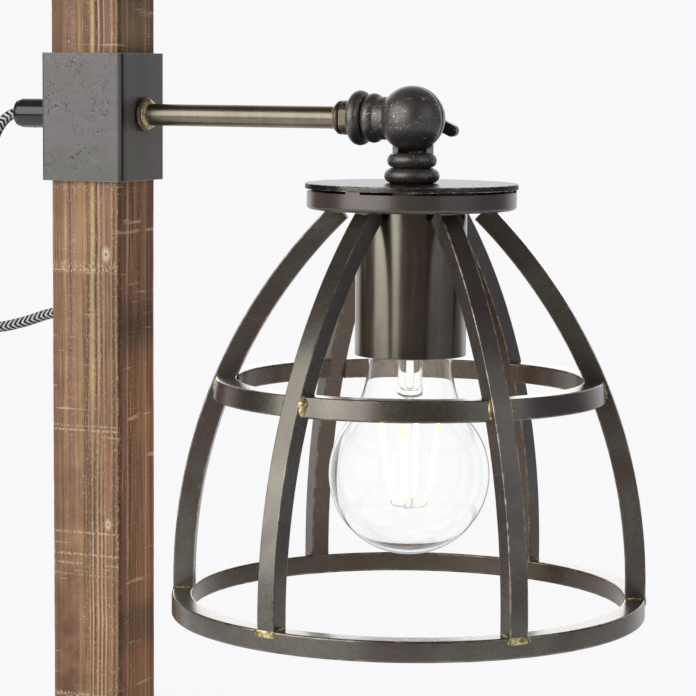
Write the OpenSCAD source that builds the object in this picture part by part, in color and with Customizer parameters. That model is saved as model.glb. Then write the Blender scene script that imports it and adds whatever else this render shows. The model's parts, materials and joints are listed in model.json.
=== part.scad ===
// Table lamp: a square wooden post on a weighted wooden base carries a steel sleeve, a brass arm,
// a ball knuckle with a wing screw, and a cage of square bars round a clear bulb.
// All sizes are in millimetres. The origin lies on the surface that the lamp stands on, under the
// post's axis. The arm runs along +X, and +Z is up.

/* [Base] */
// Length of the base board along the arm
base_l = 210; // [190:1:240]
// Width of the base board
base_w = 170; // [150:1:172]
// Height of the base board
base_h = 28; // [24:1:34]
// From the post's axis to the board's back edge
base_back = 62; // [50:1:76]
// Corner radius of the board, seen from above
base_corner = 6; // [3:1:12]
// Bevel along the board's top edges
base_ease = 1.5; // [0.5:0.5:4]
// Thickness of the felt under the board
felt_t = 2; // [1:0.5:4]
// From the board's edge to the felt's edge
felt_inset = 3; // [1:1:8]
// Thickness of the steel ballast plate
ballast_t = 10; // [6:1:11]
// From the board's edge to the ballast plate
ballast_inset = 18; // [12:1:30]
// Shank diameter of the ballast screws
ballast_screw_d = 4; // [3:0.5:5]
// From the ballast plate's edge to its screws
ballast_screw_inset = 12; // [8:1:20]

/* [Post] */
// Width of the square post
post_w = 29; // [27:0.5:32]
// Height of the post's top above the table
post_top = 455; // [430:1:560]
// Bevel along the post's four long edges
post_ease = 0.8; // [0.4:0.1:1.6]
// Depth that the post is let into the board
mortise = 8; // [4:1:8]
// Shank diameter of the bolt that holds the post from below
post_bolt_d = 8; // [6:1:10]
// Length of that bolt inside the post
post_bolt_grip = 40; // [25:1:60]

/* [Foot socket] */
// Width of the square flange on the board
flange_w = 64; // [58:1:66]
// Thickness of the flange
flange_t = 3; // [2:0.5:4]
// Height of the square tube above the flange
foot_h = 44; // [30:1:46]
// Wall of the square tube
foot_wall = 2.2; // [1.6:0.1:2.4]
// Shank diameter of the flange screws
foot_screw_d = 4; // [3:0.5:5]
// Length of the flange screws below the flange
foot_screw_l = 13; // [8:1:14]
// From the flange's edge to its screws
foot_screw_inset = 8; // [7:0.5:9]

/* [Sleeve] */
// Height of the sleeve
sleeve_h = 49; // [40:1:60]
// Wall of the sleeve
sleeve_wall = 2.8; // [1.6:0.1:3]
// Gap between the post and the steel round it
sleeve_fit = 0.2; // [0.1:0.05:0.4]
// Radius of the sleeve's upright edges
sleeve_corner = 1.8; // [0.8:0.1:2.4]
// How far the arm sits above the sleeve's middle
arm_offset = 1; // [0:0.5:6]

/* [Arm] */
// Height of the arm's axis above the table
arm_z = 370; // [350:1:400]
// From the post's axis to the shade's axis
arm_reach = 130.5; // [128:0.5:170]
// Outside diameter of the arm's tube
rod_d = 8.4; // [7.5:0.1:9]
// Bore of the arm's tube
rod_bore = 5; // [4:0.1:6]
// Length of the tube behind the sleeve, inside the gland
rod_tail = 8; // [6:0.5:9]
// Diameter of the flange against the sleeve
arm_flange_d = 13.4; // [12:0.1:16]
// Thickness of the flange against the sleeve
arm_flange_t = 2.5; // [1.5:0.1:4]
// Diameter of the collar before the knuckle
collar_d = 12.6; // [11.5:0.1:14]
// Thickness of the collar before the knuckle
collar_t = 2.5; // [1.5:0.1:4]
// Diameter of the lock nut
lock_nut_d = 12.8; // [11.5:0.1:15]
// Thickness of the lock nut
lock_nut_t = 3.8; // [2.5:0.1:5]
// Depth that the arm's tube enters the knuckle
rod_seat = 9; // [6:0.5:10]
// Leg of the brazed fillets round the tube
rod_fillet = 1.4; // [0.6:0.1:1.8]
// Diameter of one insulated wire
wire_d = 1.6; // [1.2:0.1:1.8]

/* [Gland] */
// Outside diameter of the cord gland
gland_d = 11.6; // [11:0.1:13]
// Length of the cord gland
gland_l = 21; // [20:0.5:22]
// Length of the gland's tapered tip
gland_taper = 3.2; // [2:0.1:4]
// Diameter of the gland's tip
gland_tip_d = 7.6; // [7:0.1:8.4]
// Diameter of the split collet inside the gland
collet_d = 7; // [6.4:0.1:7.2]
// Diameter of the set screw under the gland
gland_screw_d = 3; // [2.5:0.5:4]

/* [Knuckle] */
// Diameter of the knuckle's ball
ball_d = 24.3; // [22:0.1:26]
// Wall of the hollow ball
ball_wall = 2.8; // [2.2:0.1:3.4]
// Diameter of the flat behind the ball, under the washer
ball_flat_d = 13.6; // [12:0.1:14]
// Gap between the two halves
ball_seam = 0.2; // [0.1:0.05:0.4]
// Diameter of the neck next to the ball
neck_d = 15.9; // [14.5:0.1:17]
// Bore of the neck for the wires
neck_bore = 11.4; // [10.5:0.1:12]
// Gap between the ball and the first bead
neck_gap = 0.35; // [0.2:0.05:0.8]
// Diameter of the bead next to the ball
bead_small_d = 18.4; // [17.5:0.1:19]
// Diameter of the outer bead
bead_large_d = 20.5; // [19:0.1:21]
// Thickness of each bead
bead_t = 5.6; // [4.6:0.1:6.2]
// Diameter of the clamping screw
clamp_screw_d = 5; // [4:0.5:6]
// Length of the clamping screw in the front half
clamp_screw_grip = 8; // [5:0.5:8.5]
// Diameter of the bosses round the clamping screw
clamp_boss_d = 10; // [9:0.5:11]
// Thickness of the washer under the wing screw
washer_t = 1; // [0.6:0.1:1.6]
// Diameter of the wing screw's hub
wing_hub_d = 9; // [8:0.5:10]
// Length of the wing screw's hub
wing_hub_l = 6; // [5:0.5:8]
// From the screw's axis to a wing's end
wing_reach = 13; // [10:0.5:14]
// Width of a wing
wing_w = 4.4; // [3.5:0.1:5.5]
// Thickness of a wing
wing_t = 2.6; // [2:0.1:3.4]
// Angle of the wings below the arm's line
wing_angle = 25; // [0:5:90]

/* [Cover and pan] */
// Diameter of the cover plate
cover_d = 78.8; // [74:0.2:84]
// Thickness of the cover plate
cover_t = 1; // [0.8:0.1:1.6]
// Height of the cover plate's rim
cover_rim = 2; // [1.6:0.1:3]
// Diameter of the pan under the cover
pan_d = 77.6; // [73:0.2:83]
// Height of the pan's wall
pan_h = 6.6; // [5:0.1:9]
// Thickness of the pan's sheet
pan_t = 1.5; // [1:0.1:2]
// Gap between the cover's rim and the pan's wall
pan_gap = 0.9; // [0.6:0.1:2]
// Radius of the pan's lower edge
pan_edge = 1.5; // [0.5:0.1:2]
// Width of each tab that holds the cover
tab_w = 6.2; // [4:0.1:9]
// Thickness of each tab
tab_t = 0.7; // [0.5:0.1:1]
// Direction of the first tab, turned from the arm's line
tab_turn = 20; // [0:1:59]
// Diameter of the threaded nipple through cover and pan
nipple_d = 10; // [9:0.1:10.2]
// Bore of the nipple
nipple_bore = 7; // [6:0.1:7.5]
// Width across flats of the nipple's nuts
nut_af = 14; // [13:0.5:16]

/* [Cage] */
// Outside diameter of the bottom ring
cage_d = 176.8; // [168:0.2:180]
// From the pan's underside to the bottom ring's underside
cage_h = 150.9; // [146:0.1:160]
// Radius of a rib's outer curve
rib_arc_r = 198.5; // [190:0.5:215]
// Height above the bottom ring where a rib stands upright
rib_plumb = 3.5; // [1:0.5:8]
// Angle of a rib's square-cut top end
rib_cut = 45.6; // [45:0.1:46]
// Width of a rib
rib_w = 7.2; // [5:0.1:9]
// Depth of every bar, measured towards the axis
bar_d = 7.6; // [5:0.1:8.6]
// Height of the two rings' bars
bar_h = 7.6; // [5:0.1:10]
// Number of ribs
rib_count = 6; // [6:1:6]
// Direction of the first rib, turned from the arm's line
rib_turn = 19; // [0:1:59]
// From the bottom ring's underside to the middle ring's underside
mid_rise = 80.7; // [60:0.1:95]
// How far the middle ring's lower edge stands out
mid_proud = 0.4; // [0:0.1:0.8]
// How far the middle ring's outer face leans in at its top
mid_lean = 1.2; // [0:0.1:2]
// Size of the brazed fillets between the bars
braze = 1.6; // [0.8:0.1:2]

/* [Lamp holder] */
// Outside diameter of the socket cup
cup_d = 41.2; // [39.4:0.1:44]
// Length of the socket cup
cup_l = 54.1; // [50:0.1:60]
// Wall of the socket cup
cup_t = 1; // [0.8:0.1:1.4]
// Outside diameter of the lamp holder
holder_d = 33; // [32.4:0.1:35]
// Length of the lamp holder
holder_l = 43; // [40:0.5:46]
// Gap between the cup's top nut and the holder
holder_gap = 1; // [0.5:0.1:1.5]
// Wall of the lamp holder's skirt
holder_wall = 1.7; // [1.4:0.1:2]
// Thickness of the threaded brass shell in the holder
shell_t = 0.8; // [0.5:0.1:1.1]

/* [Bulb] */
// Diameter of the bulb
bulb_d = 60; // [56:0.5:62]
// Length of the bulb with its cap
bulb_l = 105; // [103:0.5:112]
// Diameter of the bulb's glass neck
bulb_neck_d = 31; // [30:0.1:31.4]
// Wall of the bulb's glass
glass_t = 0.8; // [0.6:0.1:1.2]
// Diameter of the bulb's screw cap
cap_d = 26.4; // [25.8:0.1:26.6]
// Length of the bulb's screw cap
cap_l = 27; // [25:0.5:28]
// Diameter of the glass stem
stem_d = 9.4; // [8:0.1:10]
// Length of one filament stick
filament_l = 30; // [26:0.5:32]
// Diameter of one filament stick
filament_d = 1.8; // [1.2:0.1:2.2]

/* [Switch and plug] */
// Length of the switch on the cord
switch_l = 50; // [46:1:50]
// Width of the switch
switch_w = 24; // [22:1:26]
// Height of the switch
switch_h = 14; // [14:1:14]
// Wall of the switch's shells
switch_wall = 1.6; // [1.2:0.1:2]
// Length of the rocker
rocker_l = 20; // [16:1:22]
// Width of the rocker
rocker_w = 10; // [8:0.5:11]
// Tilt of the rocker to each side
rocker_tilt = 8; // [4:1:10]
// Diameter of the rocker's axle
rocker_axle_d = 2; // [1.6:0.1:2.4]
// Length of each rubber boot on the switch
boot_l = 10; // [10:1:10]
// Width of the plug's body
plug_w = 35; // [33:1:36]
// Length of the plug's body
plug_l = 36; // [32:1:38]
// Length of the plug's tapered neck
plug_neck_l = 24; // [24:1:24]
// Diameter of a plug pin
pin_d = 4; // [3.8:0.1:4.8]
// Length of a plug pin outside the body
pin_l = 19; // [18:0.5:19]
// Distance between the plug's pins
pin_pitch = 18.6; // [17:0.1:19]

/* [Hidden] */
$fn = 64;
fine = 180;
tiny = 0.02;
play = 0.05;
over = 1;

// Base, from the table upwards
base_mid = base_l / 2 - base_back;
board_top = felt_t + base_h;
ballast_top = felt_t + ballast_t;
ballast_l = base_l - 2 * ballast_inset;
ballast_w = base_w - 2 * ballast_inset;
ballast_head_d = 2 * ballast_screw_d;
ballast_head_h = 0.5 * ballast_screw_d;
ballast_screw_bite = 10;
post_foot = board_top - mortise;
post_bolt_head_d = 1.6 * post_bolt_d;
post_bolt_head_h = 0.6 * post_bolt_d;
flange_top = board_top + flange_t;
foot_inner = post_w + 2 * sleeve_fit;
foot_outer = foot_inner + 2 * foot_wall;
foot_head_d = 1.9 * foot_screw_d;
foot_head_h = 0.55 * foot_screw_d;
sleeve_inner = post_w + 2 * sleeve_fit;
sleeve_outer = sleeve_inner + 2 * sleeve_wall;
cross_hole_d = rod_d + 0.2;

// Gland, on the side of the sleeve away from the shade
gland_root = -sleeve_outer / 2;
gland_tip = gland_root - gland_l;
tip_bore_d = 4.8;
tip_wall = 2;
collet_end = gland_tip + tip_wall;
collet_bore = 3.6;
collet_slot = 0.8;
rod_back = gland_root - rod_tail;
gland_screw_x = (rod_back + collet_end) / 2;

// Knuckle: every length is measured from the ball's centre
ball_r = ball_d / 2;
hollow_r = ball_r - ball_wall;
flat_y = sqrt(pow(ball_r, 2) - pow(ball_flat_d / 2, 2));
bead_start = ball_r + neck_gap;
neck_reach = bead_start + 2 * bead_t;
thread_depth = 5;
rod_front = arm_reach - neck_reach + rod_seat;
lock_nut_x = arm_reach - neck_reach - lock_nut_t;
collar_x = lock_nut_x - collar_t;
washer_d = ball_flat_d - 4;
hub_y = flat_y + washer_t;
wing_inset = 0.9;

// Wires: each pair keeps to its own half of the ball, off the seam
wire_aside = ball_seam / 2 + play + wire_d / 2;
wire_end = clamp_boss_d / 2 + 1;

// Cover, pan and cage: heights are measured from the arm's axis
cover_top = -neck_reach;
cover_under = cover_top - cover_t;
rim_low = cover_top - cover_rim;
pan_top = rim_low - pan_gap;
pan_low = pan_top - pan_h;
pan_floor = pan_low + pan_t;
tab_seat = cover_d / 2 - cover_t - tiny;
tab_count = 3;
ring_low = pan_low - cage_h;
ring_top = ring_low + bar_h;
arc_z = ring_top + rib_plumb;
arc_x = cage_d / 2 - rib_arc_r;
mid_low = ring_low + mid_rise;
mid_top = mid_low + bar_h;
mid_r_low = arc_x + sqrt(pow(rib_arc_r, 2) - pow(mid_top - arc_z, 2)) + mid_proud;
mid_r_top = mid_r_low - mid_lean;
rib_top_r = arc_x + sqrt(pow(rib_arc_r, 2) - pow(pan_low - arc_z, 2));
ring_bars = 360 / rib_count;
patch_w = 0.95 * rib_w;
patch_in = norm([cage_d, patch_w]) / 2 + tiny;
patch_out = cage_d / 2 + 0.5;

// Nipple, nuts, cup and lamp holder
cup_top = pan_low;
cup_floor = cup_top - cup_t;
nut_gap_t = (cover_under - pan_floor) / 2;
nipple_hole_d = nipple_d + 0.1;
holder_top = cup_floor - nut_gap_t - holder_gap;
holder_low = holder_top - holder_l;
holder_roof = 5;
holder_floor_t = 3;
chamber_d = 20;
chamber_h = 4;
chamber_low = holder_top - holder_roof - chamber_h;
well_top = chamber_low - holder_floor_t;
well_d = holder_d - 2 * holder_wall;
shell_d = well_d - 2 * play;
shell_low = holder_low + 1;
contact_d = 5;
contact_stub = 6.1;
nipple_low = holder_top - holder_roof;
wire_foot = nipple_low - 1;

// Bulb
cap_gap = 0.15;
bulb_contact = well_top - contact_stub - cap_gap;
bulb_low = bulb_contact - bulb_l;
cap_low = bulb_contact - cap_l;
bulb_r = bulb_d / 2;
bulb_z = bulb_low + bulb_r;
neck_r = bulb_neck_d / 2;
glass_rim_r = cap_d / 2 - 0.1;
glass_neck_z = cap_low - 4;
glass_lip = 2.5;
shoulder_dz = glass_neck_z - bulb_z;
shoulder_r = (pow(shoulder_dz, 2) - (bulb_r - neck_r) * (bulb_r + neck_r))
    / (2 * (bulb_r - neck_r));
stem_low = cap_low - 17;
press_h = 3;
stem_tip = bulb_z - 13;
filament_top = bulb_z + 20.5;
filament_top_r = 10.8;
filament_low_r = 6.7;
filament_count = 4;
lead_d = 0.5;
support_d = 2;

// Cord: the points are in millimetres, from the gland to the switch and from the switch to the coil
cord_d = 4.2;
cord_sides = 8;
ring_step = 11;
upper_route = [
    [-36.6, 0, 370], [-41, 0, 369.4], [-45.3, 0, 366.6], [-48.9, 0.1, 361.4], [-53.4, 0.6, 351.6],
    [-60, 1.5, 337.6], [-66.4, 3, 324], [-71.3, 4.6, 311.5], [-72.6, 6.8, 299], [-67.8, 9, 288.3],
    [-57.6, 11.3, 283.4], [-46, 13.7, 285.4], [-34.5, 16.2, 289.2], [-23.5, 17, 291.3],
    [-13, 17, 289.3], [-5.2, 17, 281.5], [-1.2, 17, 270], [0, 17, 256], [0, 17, 200], [0, 17, 130],
    [0, 18.9, 94], [0, 20.6, 66], [0, 23.4, 51], [0, 30.5, 39], [0, 42, 33.2], [0, 55, 32.4],
    [0, 67, 32.4], [0, 76, 33], [0, 83.6, 32.9], [0, 89.7, 29.2], [0, 94.4, 23.2],
    [0, 100.4, 15.2], [0, 108, 8], [0, 119, 3.2], [0, 132, 2.25], [2.6, 144, 2.25],
    [11, 153.2, 2.45], [22.5, 156, 4.5], [33.6, 156, 7], [38, 156, 7]];
lower_route = [
    [108, 156, 7], [111.5, 156, 7], [118.5, 156, 5.6], [126, 156, 3.2], [132, 156, 2.2], [136, 156, 2.2]];
clip_places = [[-10.3, 287.5, -39], [0, 240, -90], [0, 150, -90]];
clip_bore_r = 2.5;
clip_t = 1;
clip_l = 5;
clip_foot = 8;
clip_screw_d = 2.8;
clip_screw_l = 10;
clip_screw_u = 6.8;
clip_head_d = 5;
clip_head_h = 1.6;

// Coil: two layers, wound in and out again beside the base
coil_turns = 7.25;
coil_steps = 24;
coil_sides = 6;
coil_pitch = 4.65;
coil_mean_r = 25.2;
coil_outer_r = coil_mean_r + coil_pitch * coil_turns / 4;
coil_start = lower_route[len(lower_route) - 1];
coil_x = coil_start[0] + cord_d;
coil_y = coil_start[1] - coil_outer_r;
coil_tail = 10;
coil_top = coil_start[2] + coil_pitch;

// Switch and plug on the cord
switch_x = upper_route[len(upper_route) - 1][0] + boot_l;
switch_y = upper_route[len(upper_route) - 1][1];
switch_split = switch_h / 2;
switch_corner = 6;
boot_root_d = 9.5;
boot_tip_d = 6.4;
cord_hole_d = 3.4;
rocker_z = 11;
rocker_gap = 0.7;
bearing_t = 2;
bearing_w = 6;
bearing_h = 3.6;
bearing_out = rocker_w / 2 + 0.3 + bearing_t;
axle_reach = 1.4;
terminal_l = 8;
terminal_w = 5;
terminal_h = 3.5;
terminal_out = 17;
switch_screw_d = 2.4;
switch_screw_out = 17.5;
plug_x = coil_x + coil_outer_r;
plug_front = coil_y - coil_tail;
plug_h = 2 * coil_top;
plug_back = plug_front - plug_neck_l;
neck_root_d = 11;
neck_tip_d = 6.4;
pin_root = 8;

// Turns a shape that stands on +Z so that it points along +X.
module along_x() {
    rotate([0, 90, 0]) children();
}

// Turns a shape that stands on +Z so that it points along +Y.
module along_y() {
    rotate([-90, 0, 0]) children();
}

// Puts the shade's own frame, with its origin in the ball, in its place at the arm's end.
module at_shade() {
    translate([arm_reach, 0, arm_z]) children();
}

// Square whose corners are cut off at 45 degrees.
module eased_square(w, ease) {
    h = w / 2;
    polygon([[h - ease, -h], [h, -h + ease], [h, h - ease], [h - ease, h],
        [-h + ease, h], [-h, h - ease], [-h, -h + ease], [-h + ease, -h]]);
}

// Rectangle with round corners, centred.
module rounded_rect(l, w, r) {
    square([l - 2 * r, w], center = true);
    square([l, w - 2 * r], center = true);
    for (sx = [-1, 1], sy = [-1, 1])
        translate([sx * (l / 2 - r), sy * (w / 2 - r)]) circle(r = r);
}

// Flat ring standing on +Z.
module ring(outer_d, inner_d, h) {
    difference() {
        cylinder(d = outer_d, h = h);
        translate([0, 0, -over]) cylinder(d = inner_d, h = h + 2 * over);
    }
}

// Ring with a fully round outer edge.
module round_ring(outer_d, inner_d, h) {
    rotate_extrude() intersection() {
        translate([inner_d / 2, 0]) square([outer_d / 2, h]);
        union() {
            square([(outer_d - h) / 2, h]);
            translate([(outer_d - h) / 2, h / 2]) circle(d = h);
        }
    }
}

// Slotted screw with a domed head on z = 0 and its shank below.
module screw(shank_d, shank_l, head_d, head_h) {
    difference() {
        union() {
            rotate_extrude() intersection() {
                square([head_d / 2, head_h]);
                translate([0, head_h - head_d]) circle(r = head_d, $fn = fine);
            }
            translate([0, 0, -shank_l]) cylinder(d = shank_d, h = shank_l + head_h / 2);
        }
        translate([-head_d, -head_d / 14, head_h * 0.5]) cube([2 * head_d, head_d / 7, head_h]);
    }
}

// Places on a centred rectangle's corners.
module at_corners(l, w) {
    for (sx = [-1, 1], sy = [-1, 1]) translate([sx * l / 2, sy * w / 2, 0]) children();
}

module at_ribs() {
    for (k = [0 : rib_count - 1]) rotate([0, 0, rib_turn + k * ring_bars]) children();
}

module at_ballast_screws() {
    translate([base_mid, 0, 0])
        at_corners(ballast_l - 2 * ballast_screw_inset, ballast_w - 2 * ballast_screw_inset) children();
}

module at_foot_screws() {
    at_corners(flange_w - 2 * foot_screw_inset, flange_w - 2 * foot_screw_inset) children();
}

module at_clips() {
    for (c = clip_places) translate([c[0], post_w / 2, c[1]]) rotate([0, -c[2], 0]) children();
}

// Felt sheet glued under the board.
module base_felt() {
    color("dimgray") translate([base_mid, 0, 0]) linear_extrude(felt_t)
        rounded_rect(base_l - 2 * felt_inset, base_w - 2 * felt_inset, base_corner);
}

// Steel plate in the board's underside, with a recess for the post bolt's head.
module ballast_plate() {
    color("slategray") difference() {
        translate([base_mid, 0, felt_t]) linear_extrude(ballast_t)
            square([ballast_l, ballast_w], center = true);
        translate([0, 0, felt_t - over]) cylinder(d = post_bolt_head_d + 1, h = post_bolt_head_h + over);
        cylinder(d = post_bolt_d + 2 * play, h = ballast_top + over);
        at_ballast_screws() {
            cylinder(d = ballast_head_d + 0.4, h = felt_t + ballast_head_h);
            cylinder(d = ballast_screw_d + 2 * play, h = ballast_top + over);
        }
    }
}

// Four screws that hold the plate in the board.
module ballast_screws() {
    color("silver") at_ballast_screws() translate([0, 0, felt_t + ballast_head_h]) mirror([0, 0, 1])
        screw(ballast_screw_d, ballast_t - ballast_head_h + ballast_screw_bite, ballast_head_d,
            ballast_head_h);
}

// Wooden board with a recess for the plate below and a mortise for the post above.
module base_board() {
    color("saddlebrown") difference() {
        intersection() {
            translate([base_mid, 0, felt_t]) linear_extrude(base_h)
                rounded_rect(base_l, base_w, base_corner);
            translate([base_mid, 0, felt_t]) rotate([90, 0, 0])
                linear_extrude(base_w + 2 * over, center = true) board_profile(base_l);
            translate([base_mid, 0, felt_t]) rotate([90, 0, 90])
                linear_extrude(base_l + 2 * over, center = true) board_profile(base_w);
        }
        translate([base_mid, 0, felt_t - over]) linear_extrude(ballast_t + over + tiny)
            square([ballast_l + 2 * play, ballast_w + 2 * play], center = true);
        translate([0, 0, post_foot]) linear_extrude(mortise + over)
            square(post_w + 2 * play, center = true);
        cylinder(d = post_bolt_d + 2 * play, h = board_top);
        at_ballast_screws() cylinder(d = ballast_screw_d + tiny, h = ballast_top + ballast_screw_bite);
        translate([0, 0, board_top - foot_screw_l]) at_foot_screws()
            cylinder(d = foot_screw_d + tiny, h = foot_screw_l + over);
    }
}

// Board seen from one side, with bevelled top edges.
module board_profile(l) {
    h = l / 2;
    polygon([[-h, 0], [h, 0], [h, base_h - base_ease], [h - base_ease, base_h],
        [-h + base_ease, base_h], [-h, base_h - base_ease]]);
}

// Flange and square tube round the post's foot, in one welded piece.
module foot_socket() {
    color("dimgray") difference() {
        union() {
            translate([0, 0, board_top]) linear_extrude(flange_t)
                rounded_rect(flange_w, flange_w, base_corner / 2);
            translate([0, 0, board_top]) linear_extrude(flange_t + foot_h)
                rounded_rect(foot_outer, foot_outer, sleeve_corner);
        }
        translate([0, 0, board_top - over]) linear_extrude(flange_t + foot_h + 2 * over)
            square(foot_inner, center = true);
        translate([0, 0, board_top - over]) at_foot_screws()
            cylinder(d = foot_screw_d + 2 * play, h = flange_t + 2 * over);
    }
}

// Four screws through the flange into the board.
module foot_screws() {
    color("silver") at_foot_screws() translate([0, 0, flange_top])
        screw(foot_screw_d, flange_t + foot_screw_l, foot_head_d, foot_head_h);
}

// Bolt from below through plate and board into the post.
module post_bolt() {
    color("silver") translate([0, 0, felt_t]) {
        cylinder(d = post_bolt_head_d, h = post_bolt_head_h, $fn = 6);
        cylinder(d = post_bolt_d, h = post_foot - felt_t + post_bolt_grip);
    }
}

// Square wooden post with a cross hole for the arm and pilot holes for the clips.
module post() {
    color("sienna") difference() {
        translate([0, 0, post_foot]) linear_extrude(post_top - post_foot)
            eased_square(post_w, post_ease);
        translate([0, 0, post_foot - over]) cylinder(d = post_bolt_d + tiny, h = post_bolt_grip + over);
        translate([-post_w, 0, arm_z]) along_x() cylinder(d = cross_hole_d, h = 2 * post_w);
        at_clips() translate([0, over, clip_screw_u]) rotate([90, 0, 0])
            cylinder(d = clip_screw_d + tiny, h = clip_screw_l + over);
    }
}

// Square steel sleeve round the post, with a cross hole for the arm.
module sleeve() {
    color("dimgray") difference() {
        translate([0, 0, arm_z - arm_offset]) linear_extrude(sleeve_h, center = true)
            rounded_rect(sleeve_outer, sleeve_outer, sleeve_corner);
        translate([0, 0, arm_z - arm_offset]) linear_extrude(sleeve_h + 2 * over, center = true)
            square(sleeve_inner, center = true);
        translate([-sleeve_outer, 0, arm_z]) along_x() cylinder(d = cross_hole_d, h = 2 * sleeve_outer);
    }
}

// Brass tube from inside the gland, through sleeve and post, to the knuckle.
module arm_rod() {
    color("darkgoldenrod") translate([rod_back, 0, arm_z]) along_x()
        ring(rod_d, rod_bore, rod_front - rod_back);
}

// Round flange of the arm against the sleeve.
module arm_flange() {
    color("dimgray") translate([sleeve_outer / 2, 0, arm_z]) along_x()
        round_ring(arm_flange_d, rod_d + tiny, arm_flange_t);
}

// Round collar of the arm before the lock nut.
module arm_collar() {
    color("dimgray") translate([collar_x, 0, arm_z]) along_x()
        round_ring(collar_d, rod_d + tiny, collar_t);
}

// Lock nut that keeps the knuckle from turning on the arm.
module lock_nut() {
    color("saddlebrown") translate([lock_nut_x, 0, arm_z]) along_x()
        difference() {
            ring(lock_nut_d, rod_d + tiny, lock_nut_t);
            for (s = [0, 1]) mirror([0, s, 0]) translate([-lock_nut_d / 2, lock_nut_d * 0.46, -over])
                cube([lock_nut_d, lock_nut_d, lock_nut_t + 2 * over]);
        }
}

// Brazed fillets where the tube meets the flange and the collar.
module arm_braze() {
    color("gold") {
        translate([sleeve_outer / 2 + arm_flange_t, 0, arm_z]) along_x() rod_fillet_ring();
        translate([collar_x, 0, arm_z]) along_x() mirror([0, 0, 1]) rod_fillet_ring();
    }
}

module rod_fillet_ring() {
    r = rod_d / 2 + tiny / 2;
    rotate_extrude() polygon([[r, 0], [r + rod_fillet, 0], [r, rod_fillet]]);
}

// One half of the ball with its neck and beads, open inside for the wires.
// The half ball lies at +Y and the neck points along -Z. Past face_y the ball is cut flat.
module knuckle_half(bore_d, bore_depth, screw_hole_d, screw_hole_end, face_y) {
    difference() {
        union() {
            intersection() {
                union() {
                    sphere(d = ball_d, $fn = 96);
                    translate([0, 0, -bead_start - bead_t / 2])
                        cylinder(d = neck_d, h = bead_start + bead_t / 2);
                }
                translate([-ball_d, ball_seam / 2, -ball_d])
                    cube([2 * ball_d, face_y - ball_seam / 2, 2 * ball_d]);
            }
            translate([0, 0, -bead_start - bead_t]) round_bead(bead_small_d);
            translate([0, 0, -neck_reach]) round_bead(bead_large_d);
        }
        difference() {
            sphere(r = hollow_r, $fn = 96);
            along_y() cylinder(d = clamp_boss_d, h = ball_r);
        }
        translate([0, 0, -neck_reach + bore_depth])
            cylinder(d = neck_bore, h = neck_reach - bore_depth - clamp_boss_d / 2);
        translate([0, 0, -neck_reach - over]) cylinder(d = bore_d, h = bore_depth + 2 * over);
        along_y() cylinder(d = screw_hole_d, h = screw_hole_end);
    }
}

module round_bead(d) {
    rotate_extrude() {
        square([(d - bead_t) / 2, bead_t]);
        translate([(d - bead_t) / 2, bead_t / 2]) circle(d = bead_t);
    }
}

// Front half of the knuckle, fixed to the arm.
module knuckle_arm_half() {
    color("darkslategray") at_shade() rotate([0, 90, 0]) mirror([0, 1, 0])
        knuckle_half(rod_d + tiny, rod_seat, clamp_screw_d + tiny, clamp_screw_grip + ball_seam, ball_d);
}

// Back half of the knuckle, which tilts with the shade.
module knuckle_shade_half() {
    color("darkslategray") at_shade()
        knuckle_half(nipple_d + tiny, thread_depth, clamp_screw_d + 2 * play, ball_d, flat_y);
}

// Washer between the knuckle and the wing screw.
module clamp_washer() {
    color("silver") at_shade() translate([0, flat_y, 0]) along_y()
        ring(washer_d, clamp_screw_d + 0.2, washer_t);
}

// Wing screw: shank through the back half, threaded into the front half.
module wing_screw() {
    color("darkslategray") at_shade() {
        translate([0, -clamp_screw_grip, 0]) along_y()
            cylinder(d = clamp_screw_d, h = clamp_screw_grip + hub_y + over);
        translate([0, hub_y, 0]) along_y() cylinder(d = wing_hub_d, h = wing_hub_l);
        translate([0, hub_y + wing_hub_l - wing_inset, 0]) rotate([90, 0, 0]) linear_extrude(wing_t)
            for (s = [0, 180]) rotate(s - wing_angle) {
                translate([0, -wing_w / 2]) square([wing_reach - wing_w / 2, wing_w]);
                translate([wing_reach - wing_w / 2, 0]) circle(d = wing_w);
            }
    }
}

// Gland: threaded on the arm's tube, with a collet round the cord.
module gland_shell() {
    color("black") translate([gland_root, 0, arm_z]) rotate([0, -90, 0]) difference() {
        rotate_extrude() polygon([[0, 0], [gland_d / 2, 0], [gland_d / 2, gland_l - gland_taper],
            [(gland_d + gland_tip_d) / 4 + 0.5, gland_l - gland_taper / 3], [gland_tip_d / 2, gland_l],
            [0, gland_l]]);
        translate([0, 0, -over]) cylinder(d = rod_d + tiny, h = rod_tail + over);
        cylinder(d = collet_d + tiny, h = gland_l - tip_wall);
        cylinder(d = tip_bore_d, h = gland_l + over);
        translate([0, 0, gland_root - gland_screw_x]) rotate([0, -90, 0])
            cylinder(d = gland_screw_d + tiny, h = gland_d);
    }
}

// Split collet that grips the cord in the gland.
module gland_collet() {
    color("ivory") translate([rod_back, 0, arm_z]) rotate([0, -90, 0]) difference() {
        ring(collet_d, collet_bore, rod_back - collet_end);
        translate([0, -collet_slot / 2, -over]) cube([collet_d, collet_slot, gland_l]);
    }
}

// Set screw that presses the collet onto the cord.
module gland_screw() {
    color("silver") translate([gland_screw_x, 0, arm_z - gland_d / 2]) difference() {
        cylinder(d = gland_screw_d, h = (gland_d - collet_d) / 2 - play);
        translate([-gland_screw_d, -0.3, -over]) cube([2 * gland_screw_d, 0.6, 1.6]);
    }
}

// Two insulated wires from the cord's end to the knuckle.
module arm_wires() {
    color("brown") translate([collet_end, 0, arm_z]) along_x() mirror([0, 1, 0])
        wire_pair(rod_front - collet_end, arm_reach - wire_end - collet_end);
}

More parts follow.
